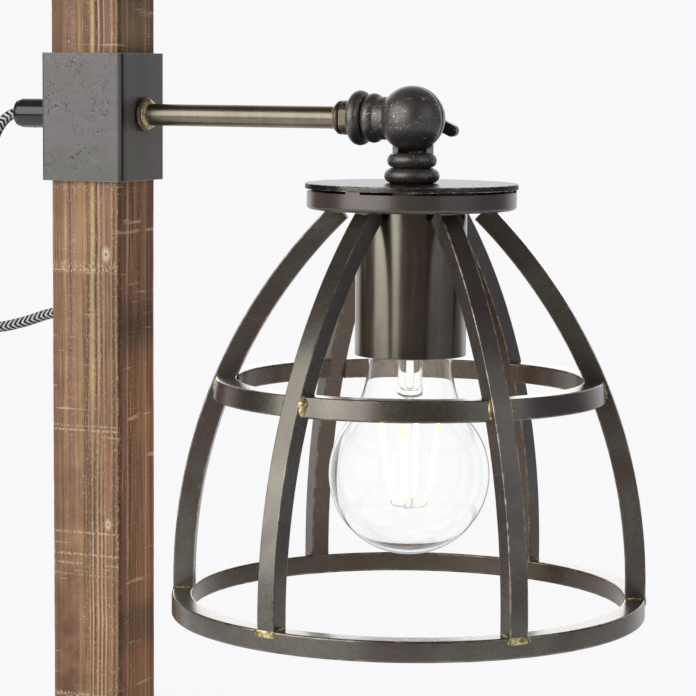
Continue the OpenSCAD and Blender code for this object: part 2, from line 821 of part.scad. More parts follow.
// Wires from the knuckle down through the nipple to the lamp holder.
module shade_wires() {
    color("brown") at_shade() translate([0, 0, wire_foot])
        wire_pair(-neck_reach + thread_depth - wire_foot, -wire_end - wire_foot);
}

// Two wires side by side along +Z, which step towards +Y after the given height.
module wire_pair(step_z, end_z) {
    for (s = [-1, 1]) let (x = s * wire_d / 2 * 1.02)
        tube([[x, 0, 0], [x, 0, step_z], [x, wire_aside, step_z + 2 * wire_d], [x, wire_aside, end_z]],
            wire_d / 2, 12, [1, 0, 0]);
}

// Threaded tube that holds cover, pan, cup and lamp holder under the knuckle.
module shade_nipple() {
    color("goldenrod") at_shade() translate([0, 0, nipple_low])
        ring(nipple_d, nipple_bore, -neck_reach + thread_depth - nipple_low);
}

// Three nuts: two stacked between cover and pan, one under the cup's top.
module nipple_nuts() {
    color("goldenrod") at_shade()
        for (z = [pan_floor, pan_floor + nut_gap_t, cup_floor - nut_gap_t]) translate([0, 0, z])
            difference() {
                cylinder(d = nut_af / cos(30), h = nut_gap_t, $fn = 6);
                translate([0, 0, -over]) cylinder(d = nipple_d + tiny, h = nut_gap_t + 2 * over);
            }
}

// Round cover plate with a short rim.
module cover_plate() {
    color("dimgray") at_shade() rotate_extrude($fn = fine) difference() {
        translate([nipple_hole_d / 2, rim_low]) square([(cover_d - nipple_hole_d) / 2, cover_rim]);
        translate([0, rim_low - over]) square([cover_d / 2 - cover_t, cover_rim - cover_t + over]);
    }
}

// Pressed pan with three tabs that slip up inside the cover's rim.
module shade_pan() {
    color("dimgray") at_shade() {
        rotate_extrude($fn = fine) pan_profile();
        for (k = [0 : tab_count - 1]) rotate([0, 0, tab_turn + k * 360 / tab_count])
            intersection() {
                rotate_extrude($fn = fine) tab_profile();
                translate([pan_d / 4, -tab_w / 2, pan_low]) cube([cover_d / 2, tab_w, -pan_low]);
            }
    }
}

module pan_profile() {
    r = pan_d / 2;
    difference() {
        union() {
            translate([0, pan_low]) square([r - pan_edge, pan_t]);
            translate([r - pan_t, pan_low + pan_edge]) square([pan_t, pan_h - pan_edge]);
            intersection() {
                translate([r - pan_edge, pan_low + pan_edge]) circle(r = pan_edge);
                translate([r - pan_edge, pan_low]) square(pan_edge);
            }
            translate([r - pan_edge - tiny, pan_low + pan_edge - tiny]) square([tiny * 2, pan_t + tiny]);
        }
        translate([-over, pan_low - over]) square([over + nipple_hole_d / 2, pan_t + 2 * over]);
    }
}

// One tab: the pan's wall carried up to the rim, and a thinner tongue inside the rim.
module tab_profile() {
    wall_out = pan_d / 2 - tiny;
    wall_in = pan_d / 2 - pan_t + tiny;
    polygon([[wall_in, pan_top - 1], [wall_out, pan_top - 1], [wall_out, rim_low - tiny],
        [tab_seat, rim_low - tiny], [tab_seat, cover_under - tiny],
        [tab_seat - tab_t, cover_under - tiny], [tab_seat - tab_t, rim_low - tiny],
        [wall_in, rim_low - tiny]]);
}

// One curved rib: it stands on the bottom ring and its square-cut top end seats under the pan.
module rib(k) {
    color("dimgray") at_shade() rotate([90, 0, rib_turn + (k - 1) * ring_bars])
        linear_extrude(rib_w, center = true) rib_profile();
}

module rib_profile() {
    reach = 1.1 * rib_arc_r;
    intersection() {
        difference() {
            translate([arc_x, arc_z]) circle(r = rib_arc_r, $fn = 2 * fine);
            translate([arc_x, arc_z]) circle(r = rib_arc_r - bar_d, $fn = 2 * fine);
        }
        translate([arc_x, arc_z]) polygon([[0, 0],
            for (i = [0 : 3]) reach * [cos(-8 + i * (rib_cut + 8) / 3), sin(-8 + i * (rib_cut + 8) / 3)]]);
        translate([0, ring_top]) square([cage_d, pan_low - ring_top]);
    }
}

// Middle ring: curved bars between the ribs, each butted against the ribs' sides.
module middle_ring() {
    color("dimgray") at_shade() difference() {
        rotate_extrude($fn = fine) polygon([[mid_r_low - bar_d, mid_low], [mid_r_low, mid_low],
            [mid_r_top, mid_top], [mid_r_top - bar_d, mid_top]]);
        at_ribs() translate([0, -rib_w / 2, mid_low - over]) cube([cage_d, rib_w, bar_h + 2 * over]);
    }
}

// Bottom ring that the ribs stand on.
module bottom_ring() {
    color("dimgray") at_shade() rotate_extrude($fn = fine)
        translate([cage_d / 2 - bar_d, ring_low]) square([bar_d, bar_h]);
}

// Brazed wedges where the ribs meet the pan's underside.
module braze_top() {
    color("gold") at_shade() at_ribs() rotate([90, 0, 0]) linear_extrude(patch_w, center = true)
        polygon([[rib_top_r + play, pan_low], [rib_top_r + play + 1.4 * braze, pan_low],
            [rib_top_r + play + 0.9 * braze, pan_low - 0.6 * braze]]);
}

// Brazed fillets in the corners between the ribs and the middle ring's bars.
module braze_middle() {
    color("gold") at_shade() at_ribs() for (s = [0, 1]) mirror([0, s, 0])
        translate([mid_r_low + play, rib_w / 2, mid_low + 0.4]) linear_extrude(bar_h - 0.8)
            polygon([[0, 0], [0.7 * braze, 0], [0, braze]]);
}

// Brazed patches across the feet of the ribs, on the bottom ring's outer face.
module braze_bottom() {
    half = asin(patch_w / cage_d);
    color("gold") at_shade() at_ribs() rotate([0, 0, -half]) rotate_extrude(angle = 2 * half, $fn = fine)
        polygon([[cage_d / 2, ring_top - braze], [patch_out, ring_top - braze],
            [patch_out, ring_top + 0.7 * braze], [patch_in, ring_top + 0.7 * braze],
            [patch_in, ring_top], [cage_d / 2, ring_top]]);
}

// Metal cup round the lamp holder, open below.
module socket_cup() {
    color("gray") at_shade() difference() {
        translate([0, 0, cup_top - cup_l]) cylinder(d = cup_d, h = cup_l, $fn = 96);
        translate([0, 0, cup_top - cup_l - over])
            cylinder(d = cup_d - 2 * cup_t, h = cup_l - cup_t + over, $fn = 96);
        translate([0, 0, cup_floor - over]) cylinder(d = nipple_hole_d, h = cup_t + 2 * over);
    }
}

// Insulating body of the lamp holder, screwed onto the nipple.
module holder_body() {
    color("black") at_shade() difference() {
        translate([0, 0, holder_low]) cylinder(d = holder_d, h = holder_l);
        translate([0, 0, holder_low - over]) cylinder(d = well_d, h = well_top - holder_low + over);
        translate([0, 0, chamber_low]) cylinder(d = chamber_d, h = chamber_h);
        translate([0, 0, chamber_low]) cylinder(d = nipple_d + tiny, h = holder_l);
        translate([0, 0, well_top - over]) cylinder(d = contact_d + tiny, h = holder_floor_t + 2 * over);
    }
}

// Threaded brass shell in the lamp holder.
module holder_shell() {
    color("goldenrod") at_shade() difference() {
        translate([0, 0, shell_low]) cylinder(d = shell_d, h = well_top - play - shell_low);
        translate([0, 0, shell_low - over])
            cylinder(d = shell_d - 2 * shell_t, h = well_top - play - shell_low - shell_t + over);
        translate([0, 0, well_top - holder_floor_t]) cylinder(d = 2.4 * contact_d, h = 2 * holder_floor_t);
    }
}

// Centre contact of the lamp holder.
module holder_contact() {
    color("goldenrod") at_shade() {
        translate([0, 0, well_top - contact_stub])
            cylinder(d = contact_d, h = holder_floor_t + contact_stub + 1);
        translate([0, 0, chamber_low]) cylinder(d = 1.6 * contact_d, h = 1);
    }
}

// Screw cap of the bulb, closed at its contact.
module bulb_cap() {
    r = cap_d / 2;
    color("silver") at_shade() rotate_extrude() polygon([[0, bulb_contact], [3.5, bulb_contact],
        [4, bulb_contact - 1.6], [8, bulb_contact - 2.2], [r, bulb_contact - 5.5], [r, cap_low],
        [r - 1, cap_low], [r - 1, bulb_contact - 6.5], [0, bulb_contact - 3.5]]);
}

// Outline of a bulb whose surface lies inward by the given amount.
module bulb_outline(inward, top_z) {
    shoulder = shoulder_r + inward;
    body = bulb_r - inward;
    neck = neck_r - inward;
    centre = [neck_r + shoulder_r, glass_neck_z];
    touch = [centre[0] * body / (body + shoulder), bulb_z + shoulder_dz * body / (body + shoulder)];
    intersection() {
        translate([0, bulb_low]) square([bulb_r, top_z - bulb_low]);
        union() {
            translate([0, bulb_z]) circle(r = body, $fn = fine);
            difference() {
                polygon([[0, bulb_z], touch, centre, [neck, glass_neck_z], [neck, cap_low - glass_lip],
                    [glass_rim_r - inward, cap_low], [0, cap_low]]);
                translate(centre) circle(r = shoulder, $fn = fine);
            }
        }
    }
}

// Clear glass of the bulb, hollow and closed by the stem's flare at the cap.
module bulb_glass() {
    color("lightcyan", 0.4) at_shade() rotate_extrude($fn = 96) difference() {
        bulb_outline(0, cap_low);
        bulb_outline(glass_t, cap_low + over);
    }
}

// Glass stem with its press and support rod, its flare seated in the glass neck.
module bulb_stem() {
    flare_r = glass_rim_r - glass_t - play;
    color("lightcyan", 0.4) at_shade() {
        translate([0, 0, cap_low - 1.2]) cylinder(r = flare_r, h = 1.2);
        translate([0, 0, stem_low]) cylinder(d = stem_d, h = cap_low - stem_low - 0.6);
        translate([0, 0, stem_low - press_h]) cylinder(d = 0.6 * stem_d, h = press_h + over);
        translate([0, 0, stem_tip]) cylinder(d = support_d, h = stem_low - stem_tip, $fn = 24);
    }
}

// Four filament sticks between two stars of lead wire.
module bulb_filaments() {
    fall = sqrt(pow(filament_l, 2) - pow(filament_top_r - filament_low_r, 2));
    lean = atan((filament_top_r - filament_low_r) / fall);
    color("lightyellow") at_shade() for (k = [0 : filament_count - 1])
        rotate([0, 0, k * 360 / filament_count]) {
            translate([filament_low_r, 0, filament_top - fall]) rotate([0, lean, 0])
                cylinder(d = filament_d, h = filament_l, $fn = 24);
            translate([support_d / 2 + play, 0, filament_top - fall - lead_d])
                along_x() cylinder(d = lead_d, h = filament_low_r, $fn = 16);
            translate([support_d / 2 + play, 0, filament_top])
                along_x() cylinder(d = lead_d, h = filament_top_r, $fn = 16);
        }
}

// Saddle clips screwed to the post's back, seen along the cord as a hook over it.
module cord_clips() {
    color("silver") at_clips() difference() {
        rotate([90, 0, 90]) linear_extrude(clip_l, center = true) clip_profile();
        translate([0, -over, clip_screw_u]) along_y()
            cylinder(d = clip_screw_d + 2 * play, h = clip_t + 2 * over);
    }
}

module clip_profile() {
    outer = clip_bore_r + clip_t;
    difference() {
        union() {
            translate([0, -outer]) square([clip_bore_r, 2 * outer]);
            translate([clip_bore_r, 0]) circle(r = outer);
            square([clip_t, clip_bore_r + clip_foot]);
        }
        translate([-over, -clip_bore_r]) square([clip_bore_r + over, 2 * clip_bore_r]);
        translate([clip_bore_r, 0]) circle(r = clip_bore_r);
    }
}

// Screws of the clips.
module clip_screws() {
    color("silver") at_clips() translate([0, clip_t, clip_screw_u]) along_y()
        screw(clip_screw_d, clip_t + clip_screw_l - 1, clip_head_d, clip_head_h);
}

// Point on the smooth curve through a route, at share u of the span after its i-th point.
function on_route(p, i, u) =
    let (a = p[max(i - 1, 0)], b = p[i], c = p[i + 1], d = p[min(i + 2, len(p) - 1)])
    b + 0.5 * u * (c - a) + 0.5 * u * u * (2 * a - 5 * b + 4 * c - d)
        + 0.5 * u * u * u * (3 * b - 3 * c + d - a);

// Points along the smooth curve through a route, at most one ring step apart.
function smooth(p) = concat(
    [for (i = [0 : len(p) - 2]) let (n = ceil(norm(p[i + 1] - p[i]) / ring_step))
        for (j = [0 : n - 1]) on_route(p, i, j / n)],
    [p[len(p) - 1]]);

function unit(v) = v / norm(v);

// Direction of a line of points at its i-th point.
function heading(p, i) = unit(p[min(i + 1, len(p) - 1)] - p[max(i - 1, 0)]);

// Side vectors along a line of points, each turned as little as possible from the one before.
function side_vectors(p, first) =
    [for (i = 0, s = first; i < len(p);
        i = i + 1, s = i < len(p) ? unit(s - (s * heading(p, i)) * heading(p, i)) : s) s];

// Tube of the given radius through a line of points.
module tube(p, r, sides, first_side) {
    side = side_vectors(p, first_side);
    rings = [for (i = [0 : len(p) - 1]) for (k = [0 : sides - 1])
        p[i] + r * (cos(k * 360 / sides) * side[i]
            + sin(k * 360 / sides) * cross(heading(p, i), side[i]))];
    last = (len(p) - 1) * sides;
    polyhedron(rings, concat(
        [for (k = [1 : sides - 2]) [0, k, k + 1]],
        [for (k = [1 : sides - 2]) [last, last + k + 1, last + k]],
        [for (i = [0 : len(p) - 2]) for (k = [0 : sides - 1]) let (a = i * sides, n = (k + 1) % sides)
            [a + k, a + sides + n, a + n]],
        [for (i = [0 : len(p) - 2]) for (k = [0 : sides - 1]) let (a = i * sides, n = (k + 1) % sides)
            [a + k, a + sides + k, a + sides + n]]));
}

// Cord from the gland round behind the post, down its back and over the board to the switch.
module cord_upper() {
    color("dimgray") tube(smooth(upper_route), cord_d / 2, cord_sides, [0, 1, 0]);
}

// Cord from the switch to the coil.
module cord_lower() {
    color("dimgray") tube(smooth(lower_route), cord_d / 2, cord_sides, [0, 1, 0]);
}

// Centreline of the coil after t turns: in on the lower layer, out on the upper one.
function coil_point(t) =
    let (half = coil_turns / 2, r = coil_outer_r - coil_pitch * (half - abs(half - t)),
        climb = min(max(2 * (t - half) + 0.5, 0), 1), a = 90 - 360 * t)
    [coil_x + r * cos(a), coil_y + r * sin(a), coil_start[2] + coil_pitch * (3 - 2 * climb) * climb * climb];

coil_line = concat([coil_start],
    [for (i = [0 : coil_turns * coil_steps]) coil_point(i / coil_steps)],
    [[plug_x, plug_front, coil_top]]);

// Least distance between the turns' surfaces, measured between points over half a turn apart.
coil_gap = min([for (i = [0 : len(coil_line) - 1])
    min(concat([coil_outer_r], [for (j = [i + coil_steps / 2 : 1 : len(coil_line) - 1])
        norm(coil_line[i] - coil_line[j])]))]) - cord_d;

// Length of a line of points.
function line_length(p) =
    [for (i = [1 : len(p) - 1]) norm(p[i] - p[i - 1])] * [for (i = [1 : len(p) - 1]) 1];

// Rest of the cord, wound up beside the base and led to the plug.
module cord_coil() {
    color("dimgray") tube(coil_line, cord_d / 2, coil_sides, [0, 0, 1]);
    echo(coil_gap = coil_gap, coil_length = line_length(coil_line));
}

// Outline of the switch, seen from above, in its own frame at the end of the first boot.
module at_switch() {
    translate([switch_x, switch_y, 0]) children();
}

module switch_outline(inset) {
    translate([switch_l / 2, 0])
        rounded_rect(switch_l - 2 * inset, switch_w - 2 * inset, switch_corner - inset);
}

module at_switch_screws() {
    for (s = [-1, 1])
        translate([switch_l / 2 + s * switch_screw_out, s * (switch_w / 2 - 5.5), 0]) children();
}

module cord_holes() {
    translate([-over, 0, switch_split]) along_x() cylinder(d = cord_hole_d, h = switch_l + 2 * over);
}

// Lower shell of the switch, with posts for its screws.
module switch_lower() {
    color("black") at_switch() difference() {
        union() {
            difference() {
                linear_extrude(switch_split) switch_outline(0);
                translate([0, 0, switch_wall]) linear_extrude(switch_h) switch_outline(switch_wall);
            }
            at_switch_screws() cylinder(d = 2 * switch_screw_d, h = switch_split);
        }
        cord_holes();
        at_switch_screws() translate([0, 0, -over]) cylinder(d = switch_screw_d + 2 * play, h = switch_h);
        at_switch_screws() translate([0, 0, -over]) cylinder(d = 1.9 * switch_screw_d, h = over + 1.2);
    }
}

// Upper shell of the switch, with the slot and bearings of the rocker.
module switch_upper() {
    color("black") at_switch() difference() {
        union() {
            difference() {
                translate([0, 0, switch_split]) linear_extrude(switch_h - switch_split) switch_outline(0);
                translate([0, 0, switch_split - over])
                    linear_extrude(switch_h - switch_split - switch_wall + over)
                        switch_outline(switch_wall);
            }
            for (s = [-1, 1]) translate([(switch_l - bearing_w) / 2,
                    s * bearing_out - (s > 0 ? bearing_t : 0), switch_h - switch_wall - bearing_h])
                cube([bearing_w, bearing_t, bearing_h + switch_wall / 2]);
            at_switch_screws() translate([0, 0, switch_split])
                cylinder(d = 2 * switch_screw_d, h = switch_split - switch_wall / 2);
        }
        cord_holes();
        translate([switch_l / 2 - rocker_l / 2 - rocker_gap, -rocker_w / 2 - 0.3,
                switch_h - switch_wall - over])
            cube([rocker_l + 2 * rocker_gap, rocker_w + 0.6, switch_wall + 2 * over]);
        translate([switch_l / 2, -bearing_out - over, rocker_z]) along_y()
            cylinder(d = rocker_axle_d + play, h = 2 * bearing_out + 2 * over);
        at_switch_screws() translate([0, 0, switch_split - over])
            cylinder(d = switch_screw_d + tiny, h = over + 4);
    }
}

// Two screws that hold the switch's shells together from below.
module switch_screws() {
    color("silver") at_switch() at_switch_screws() translate([0, 0, 1.2]) mirror([0, 0, 1])
        screw(switch_screw_d, switch_split + 2, 1.8 * switch_screw_d, 1);
}

// Two brass terminals on the switch's floor.
module switch_terminals() {
    color("goldenrod") at_switch() for (s = [-1, 1])
        translate([switch_l / 2 + s * terminal_out / 2 - terminal_l / 2, -terminal_w / 2, switch_wall])
            difference() {
                cube([terminal_l, terminal_w, terminal_h]);
                translate([-over, terminal_w / 2, terminal_h / 2]) along_x()
                    cylinder(d = wire_d, h = terminal_l + 2 * over, $fn = 24);
            }
}

// Tapered rubber boots where the cord enters the switch.
module switch_boots() {
    color("black") at_switch() for (s = [0, 1]) translate([s * switch_l, 0, switch_split])
        mirror([1 - s, 0, 0]) along_x() difference() {
            rotate_extrude() polygon([[0, 0], [boot_root_d / 2, 0], [boot_tip_d / 2, boot_l], [0, boot_l]]);
            translate([0, 0, -over]) cylinder(d = cord_hole_d, h = boot_l + 2 * over);
        }
}

// Rocker of the switch, drawn in its off position.
module switch_rocker() {
    h = rocker_l / 2;
    color("black") at_switch() translate([switch_l / 2, 0, rocker_z]) {
        rotate([90, -rocker_tilt, 0]) linear_extrude(rocker_w, center = true)
            polygon([[-h, -0.6], [-h, 3.6], [-h * 0.6, 2.9], [0, 2.6], [h * 0.6, 2.9], [h, 3.6],
                [h, -0.6], [2.5, -3], [-2.5, -3]]);
        translate([0, -rocker_w / 2 - axle_reach, 0]) along_y()
            cylinder(d = rocker_axle_d, h = rocker_w + 2 * axle_reach);
    }
}

// Puts the plug's own frame, which points along +Z from the cord's end, in its place.
module at_plug() {
    translate([plug_x, plug_front, coil_top]) rotate([90, 0, 0]) children();
}

// Body of the plug with its tapered neck.
module plug_body() {
    color("black") at_plug() difference() {
        union() {
            rotate_extrude() polygon([[0, 0], [neck_tip_d / 2, 0], [neck_root_d / 2, plug_neck_l + 2],
                [0, plug_neck_l + 2]]);
            intersection() {
                translate([0, 0, plug_neck_l]) linear_extrude(plug_l) rounded_rect(plug_w, plug_h, 4);
                translate([0, 0, plug_neck_l]) rotate([90, 0, 0])
                    linear_extrude(plug_h + over, center = true) plug_face();
            }
        }
        for (s = [-1, 1]) translate([s * pin_pitch / 2, 0, plug_neck_l + plug_l - pin_root])
            cylinder(d = pin_d + tiny, h = pin_root + over);
    }
}

// Plug seen from above: narrow at the cord, wide at the pins.
module plug_face() {
    w = plug_w / 2;
    polygon([[-0.45 * w, 0], [0.45 * w, 0], [0.8 * w, 0.16 * plug_l], [w, 0.45 * plug_l],
        [w, plug_l], [-w, plug_l], [-w, 0.45 * plug_l], [-0.8 * w, 0.16 * plug_l]]);
}

// Two round pins of the plug.
module plug_pins() {
    color("silver") at_plug() for (s = [-1, 1])
        translate([s * pin_pitch / 2, 0, plug_neck_l + plug_l - pin_root]) {
            cylinder(d = pin_d, h = pin_root + pin_l - pin_d / 2);
            translate([0, 0, pin_root + pin_l - pin_d / 2]) sphere(d = pin_d, $fn = 32);
        }
}

base_felt();
ballast_plate();
ballast_screws();
base_board();
foot_socket();
foot_screws();
post_bolt();
post();
sleeve();
arm_rod();
arm_flange();
arm_collar();
lock_nut();
arm_braze();
knuckle_arm_half();
gland_shell();
gland_collet();
gland_screw();
arm_wires();
cord_clips();
clip_screws();
cord_upper();
cord_lower();
cord_coil();
switch_lower();
switch_upper();
switch_screws();
switch_terminals();
switch_boots();
switch_rocker();
plug_body();
plug_pins();
wing_screw();
clamp_washer();
knuckle_shade_half();
shade_nipple();
nipple_nuts();
cover_plate();
shade_pan();
rib(1);  // rib_1
rib(2);  // rib_2
rib(3);  // rib_3
rib(4);  // rib_4
rib(5);  // rib_5
rib(6);  // rib_6
middle_ring();
bottom_ring();
braze_top();
braze_middle();
braze_bottom();
socket_cup();
holder_body();
holder_shell();
holder_contact();
bulb_cap();
bulb_glass();
bulb_stem();
bulb_filaments();
shade_wires();
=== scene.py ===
"""Looks of a table lamp with a square wooden post, a side arm and an open cage shade.

Lengths are in metres. Heights above the table are z, the arm runs along +X, and the shade's
own axis stands at SHADE_X. Lengths written as n * MM are millimetres.
"""
import json
from math import asin, atan2, ceil, copysign, cos, pi, radians, sin, tan, tau

import bmesh
import bpy
from mathutils import Matrix, Vector, noise

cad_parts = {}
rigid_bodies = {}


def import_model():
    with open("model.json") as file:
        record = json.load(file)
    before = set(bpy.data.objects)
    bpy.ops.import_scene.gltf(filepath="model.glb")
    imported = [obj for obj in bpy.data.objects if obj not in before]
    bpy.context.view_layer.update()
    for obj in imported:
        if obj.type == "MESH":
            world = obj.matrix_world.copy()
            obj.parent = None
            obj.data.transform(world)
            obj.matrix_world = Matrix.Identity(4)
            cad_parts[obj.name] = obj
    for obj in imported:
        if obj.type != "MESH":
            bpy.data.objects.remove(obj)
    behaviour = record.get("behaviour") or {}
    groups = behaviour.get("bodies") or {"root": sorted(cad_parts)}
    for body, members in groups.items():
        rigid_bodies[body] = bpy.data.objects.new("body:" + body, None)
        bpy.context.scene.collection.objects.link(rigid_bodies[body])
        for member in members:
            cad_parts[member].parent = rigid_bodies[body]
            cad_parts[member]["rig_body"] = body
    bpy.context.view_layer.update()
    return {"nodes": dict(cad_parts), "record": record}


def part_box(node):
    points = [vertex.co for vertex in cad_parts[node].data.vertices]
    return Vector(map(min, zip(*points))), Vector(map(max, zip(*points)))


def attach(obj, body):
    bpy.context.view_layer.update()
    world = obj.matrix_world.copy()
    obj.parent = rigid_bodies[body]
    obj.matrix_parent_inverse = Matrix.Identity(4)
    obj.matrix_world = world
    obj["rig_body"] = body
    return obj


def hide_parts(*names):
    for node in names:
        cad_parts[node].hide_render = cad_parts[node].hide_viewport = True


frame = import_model()
nodes = frame["nodes"]

scene = bpy.context.scene
MM = 0.001
SHADE_X = 0.1305
ARM_Z = 0.370
SHADE = Vector((SHADE_X, 0, ARM_Z))


def linked(name, data):
    obj = bpy.data.objects.new(name, data)
    scene.collection.objects.link(obj)
    return obj


# Camera: the photograph's viewpoint, found from the lamp's edges in it

CAMERA_AT = (0.5173, -0.9037, 0.38854)
CAMERA_HEADING, CAMERA_PITCH, CAMERA_ROLL = 24.518, 83.986, 0.4
CAMERA_LENS, CAMERA_SENSOR = 137.7, 36


def make_camera():
    data = bpy.data.cameras.new("camera")
    data.sensor_width, data.lens = CAMERA_SENSOR, CAMERA_LENS
    camera = linked("camera", data)
    camera.matrix_world = (
        Matrix.Translation(CAMERA_AT)
        @ Matrix.Rotation(radians(CAMERA_HEADING), 4, "Z")
        @ Matrix.Rotation(radians(CAMERA_PITCH), 4, "X")
        @ Matrix.Rotation(radians(CAMERA_ROLL), 4, "Z"))
    scene.camera = camera


make_camera()
scene.view_settings.view_transform = "Standard"


# Node materials

class Nodes:
    """One node tree being built. An input is a number, a colour or another node's output."""

    def __init__(self, tree, coordinates):
        self.tree = tree
        self.tree.nodes.clear()
        self.place = self.put("TexCoord", output=coordinates)

    def put(self, kind, inputs=None, output=0, **settings):
        node = self.tree.nodes.new("ShaderNode" + kind)
        for key, value in settings.items():
            setattr(node, key, value)
        for key, value in (inputs or {}).items():
            if isinstance(value, bpy.types.NodeSocket):
                self.tree.links.new(value, node.inputs[key])
            else:
                node.inputs[key].default_value = value
        return node.outputs[output] if node.outputs else node

    def math(self, operation, a, b=0.0):
        return self.put("Math", {0: a, 1: b}, operation=operation)

    def plus(self, a, b):
        return self.math("ADD", a, b)

    def times(self, a, b):
        return self.math("MULTIPLY", a, b)

    def larger(self, a, b):
        return self.math("MAXIMUM", a, b)

    def apart(self, a, b):
        return self.math("ABSOLUTE", self.math("SUBTRACT", a, b))

    def vector(self, operation, a, b=(0, 0, 0)):
        """Vector maths, which gives a number for a length or a dot product."""
        output = "Value" if operation in ("LENGTH", "DOT_PRODUCT") else "Vector"
        return self.put("VectorMath", {0: a, 1: b}, output, operation=operation)

    def scaled(self, vector, factors):
        return self.vector("MULTIPLY", vector, factors)

    def parts(self, vector):
        return self.put("SeparateXYZ", {0: vector}).node.outputs

    def noise(self, scale, detail=3.0, rough=0.55, warp=0.0, at=None):
        return self.put("TexNoise", {
            "Vector": at or self.place, "Scale": scale, "Detail": detail, "Roughness": rough,
            "Distortion": warp}, "Fac")

    def span(self, value, low, high, to_low=0.0, to_high=1.0):
        return self.put("MapRange", {
            "Value": value, "From Min": low, "From Max": high,
            "To Min": to_low, "To Max": to_high}, "Result")

    def ramp(self, value, stops):
        node = self.put("ValToRGB", {"Fac": value}, "Color").node
        first, last = node.color_ramp.elements
        first.position, first.color = stops[0][0], (*stops[0][1], 1)
        last.position, last.color = stops[-1][0], (*stops[-1][1], 1)
        for position, colour in stops[1:-1]:
            node.color_ramp.elements.new(position).color = (*colour, 1)
        return node.outputs["Color"]

    def mix(self, share, a, b):
        a, b = [(*c, 1) if isinstance(c, tuple) else c for c in (a, b)]
        return self.put("Mix", {0: share, 6: a, 7: b}, 2, data_type="RGBA")

    def near(self, point, radius, stretch=(1, 1, 1)):
        """1 at a point and 0 from the radius outwards, with distances stretched per axis."""
        offset = self.scaled(self.vector("SUBTRACT", self.place, point), stretch)
        return self.span(self.vector("LENGTH", offset), 0.0, radius, 1.0, 0.0)

    def worn(self):
        """1 on the faces that a mesh marks as worn edges."""
        return self.put("Attribute", output="Fac", attribute_name="edge")

    def bump(self, height, depth):
        return self.put("Bump", {"Height": height, "Distance": depth, "Strength": 1.0})


class Finish(Nodes):
    """One material under construction."""

    def __init__(self, name):
        self.material = bpy.data.materials.new(name)
        self.material.use_nodes = True
        super().__init__(self.material.node_tree, "Object")

    def tint(self, share, colour):
        self.colour = self.mix(share, self.colour, colour)

    def finished(self, **values):
        """Ends the material with a principled surface. Underscores stand for spaces."""
        inputs = {key.replace("_", " "): value for key, value in values.items()}
        shader = self.put("BsdfPrincipled", {"Base Color": self.colour, **inputs})
        self.put("OutputMaterial", {"Surface": shader})
        return self.material


# The knuckle's seam: half widths of the band of painted shade in the gap between the ball's
# halves, and of the rubbed lines beside it
SEAM_GAP = (0.55 * MM, 0.85 * MM)
SEAM_RUBBED_FROM, SEAM_RUBBED_TO = (0.8 * MM, 1.1 * MM), (1.3 * MM, 1.9 * MM)
SEAM_SHADE = (0.01, 0.01, 0.01)


def aged_metal(name, dark, light, rough, bare=(0.45, 0.41, 0.34), wear=0.5, flecks=0.0,
               coat=0.0, coat_rough=0.2, metallic=1.0, brushed=(1, 1, 1), relief=0.03,
               seam=None, inside=None, grazing=(1, 1, 1), cloud=None):
    """Metal with broad tone changes, fine grain, pale rubbed edges and pale scuff flecks.

    seam is (centre, radius) of a ball whose two halves meet in the plane y = 0, where a dark band
    of painted shade marks the gap, with rubbed lines beside it. inside is the colour of painted
    shade on faces that look towards the shade's own axis. grazing dims reflections at flat
    angles. cloud is a second tone in broad soft patches.
    """
    f = Finish(name)
    fine = f.noise(900, 4, 0.6, at=f.scaled(f.place, brushed))
    tone = f.plus(f.times(f.noise(45, 3), 0.6), f.times(fine, 0.4))
    f.colour = f.ramp(tone, [(0.36, dark), (0.64, light)])
    if cloud:
        f.tint(f.span(f.noise(22, 3, 0.6, 0.5), 0.42, 0.58, 0, 0.8), cloud)
    # Painted shade: faces that look towards the shade's own axis take the darker inside colour
    if inside:
        outwards = f.scaled(f.vector("SUBTRACT", f.place, tuple(SHADE)), (1, 1, 0))
        faces = f.vector("DOT_PRODUCT", f.vector("NORMALIZE", outwards),
                         f.put("NewGeometry", output="Normal"))
        f.tint(f.span(faces, -0.35, -0.65), inside)
    rub = f.span(f.noise(240, 4, 0.65), 0.45, 0.62, 0, wear)
    f.tint(f.times(f.worn(), rub), bare)
    scuff_field = f.noise(1500, 4, 0.65)
    scuffed = f.times(f.span(scuff_field, 0.61, 0.65, 0, flecks),
                      f.span(f.noise(130, 3, 0.6, 0.8), 0.49, 0.55))
    curl = f.apart(f.noise(150, 2, 0.5, 1.2), 0.5)
    scratched = f.times(f.span(curl, 0.004, 0.009, flecks, 0),
                        f.span(f.noise(420, 3, 0.7), 0.52, 0.6))
    scuffed = f.larger(scuffed, scratched)
    f.tint(scuffed, bare)
    if seam:
        on_ball = f.span(f.near(*seam), 0.0, 0.01)
        aside = f.apart(f.parts(f.place)[1], 0)
        rubbed = f.times(f.span(aside, *SEAM_RUBBED_FROM), f.span(aside, *SEAM_RUBBED_TO, 0.55, 0))
        f.tint(f.times(rubbed, on_ball), bare)
        # Painted shade: a dark band along the gap where the ball's halves meet
        gap_shade = f.span(aside, *SEAM_GAP, 0.92, 0)
        f.tint(f.times(gap_shade, on_ball), SEAM_SHADE)
    roughness = f.span(fine, 0.3, 0.7, rough - 0.03, rough + 0.04)
    roughness = f.plus(roughness, f.times(scuffed, 0.15))
    bump = f.bump(f.plus(fine, f.times(scuff_field, 0.7)), relief * MM)
    return f.finished(Metallic=metallic, Roughness=roughness, Normal=bump, Coat_Weight=coat,
                      Coat_Roughness=coat_rough, Specular_Tint=(*grazing, 1))


PIT_DARK, ZINC_PALE, ZINC_RUBBED = (0.03, 0.028, 0.028), (0.42, 0.41, 0.40), (0.50, 0.47, 0.42)
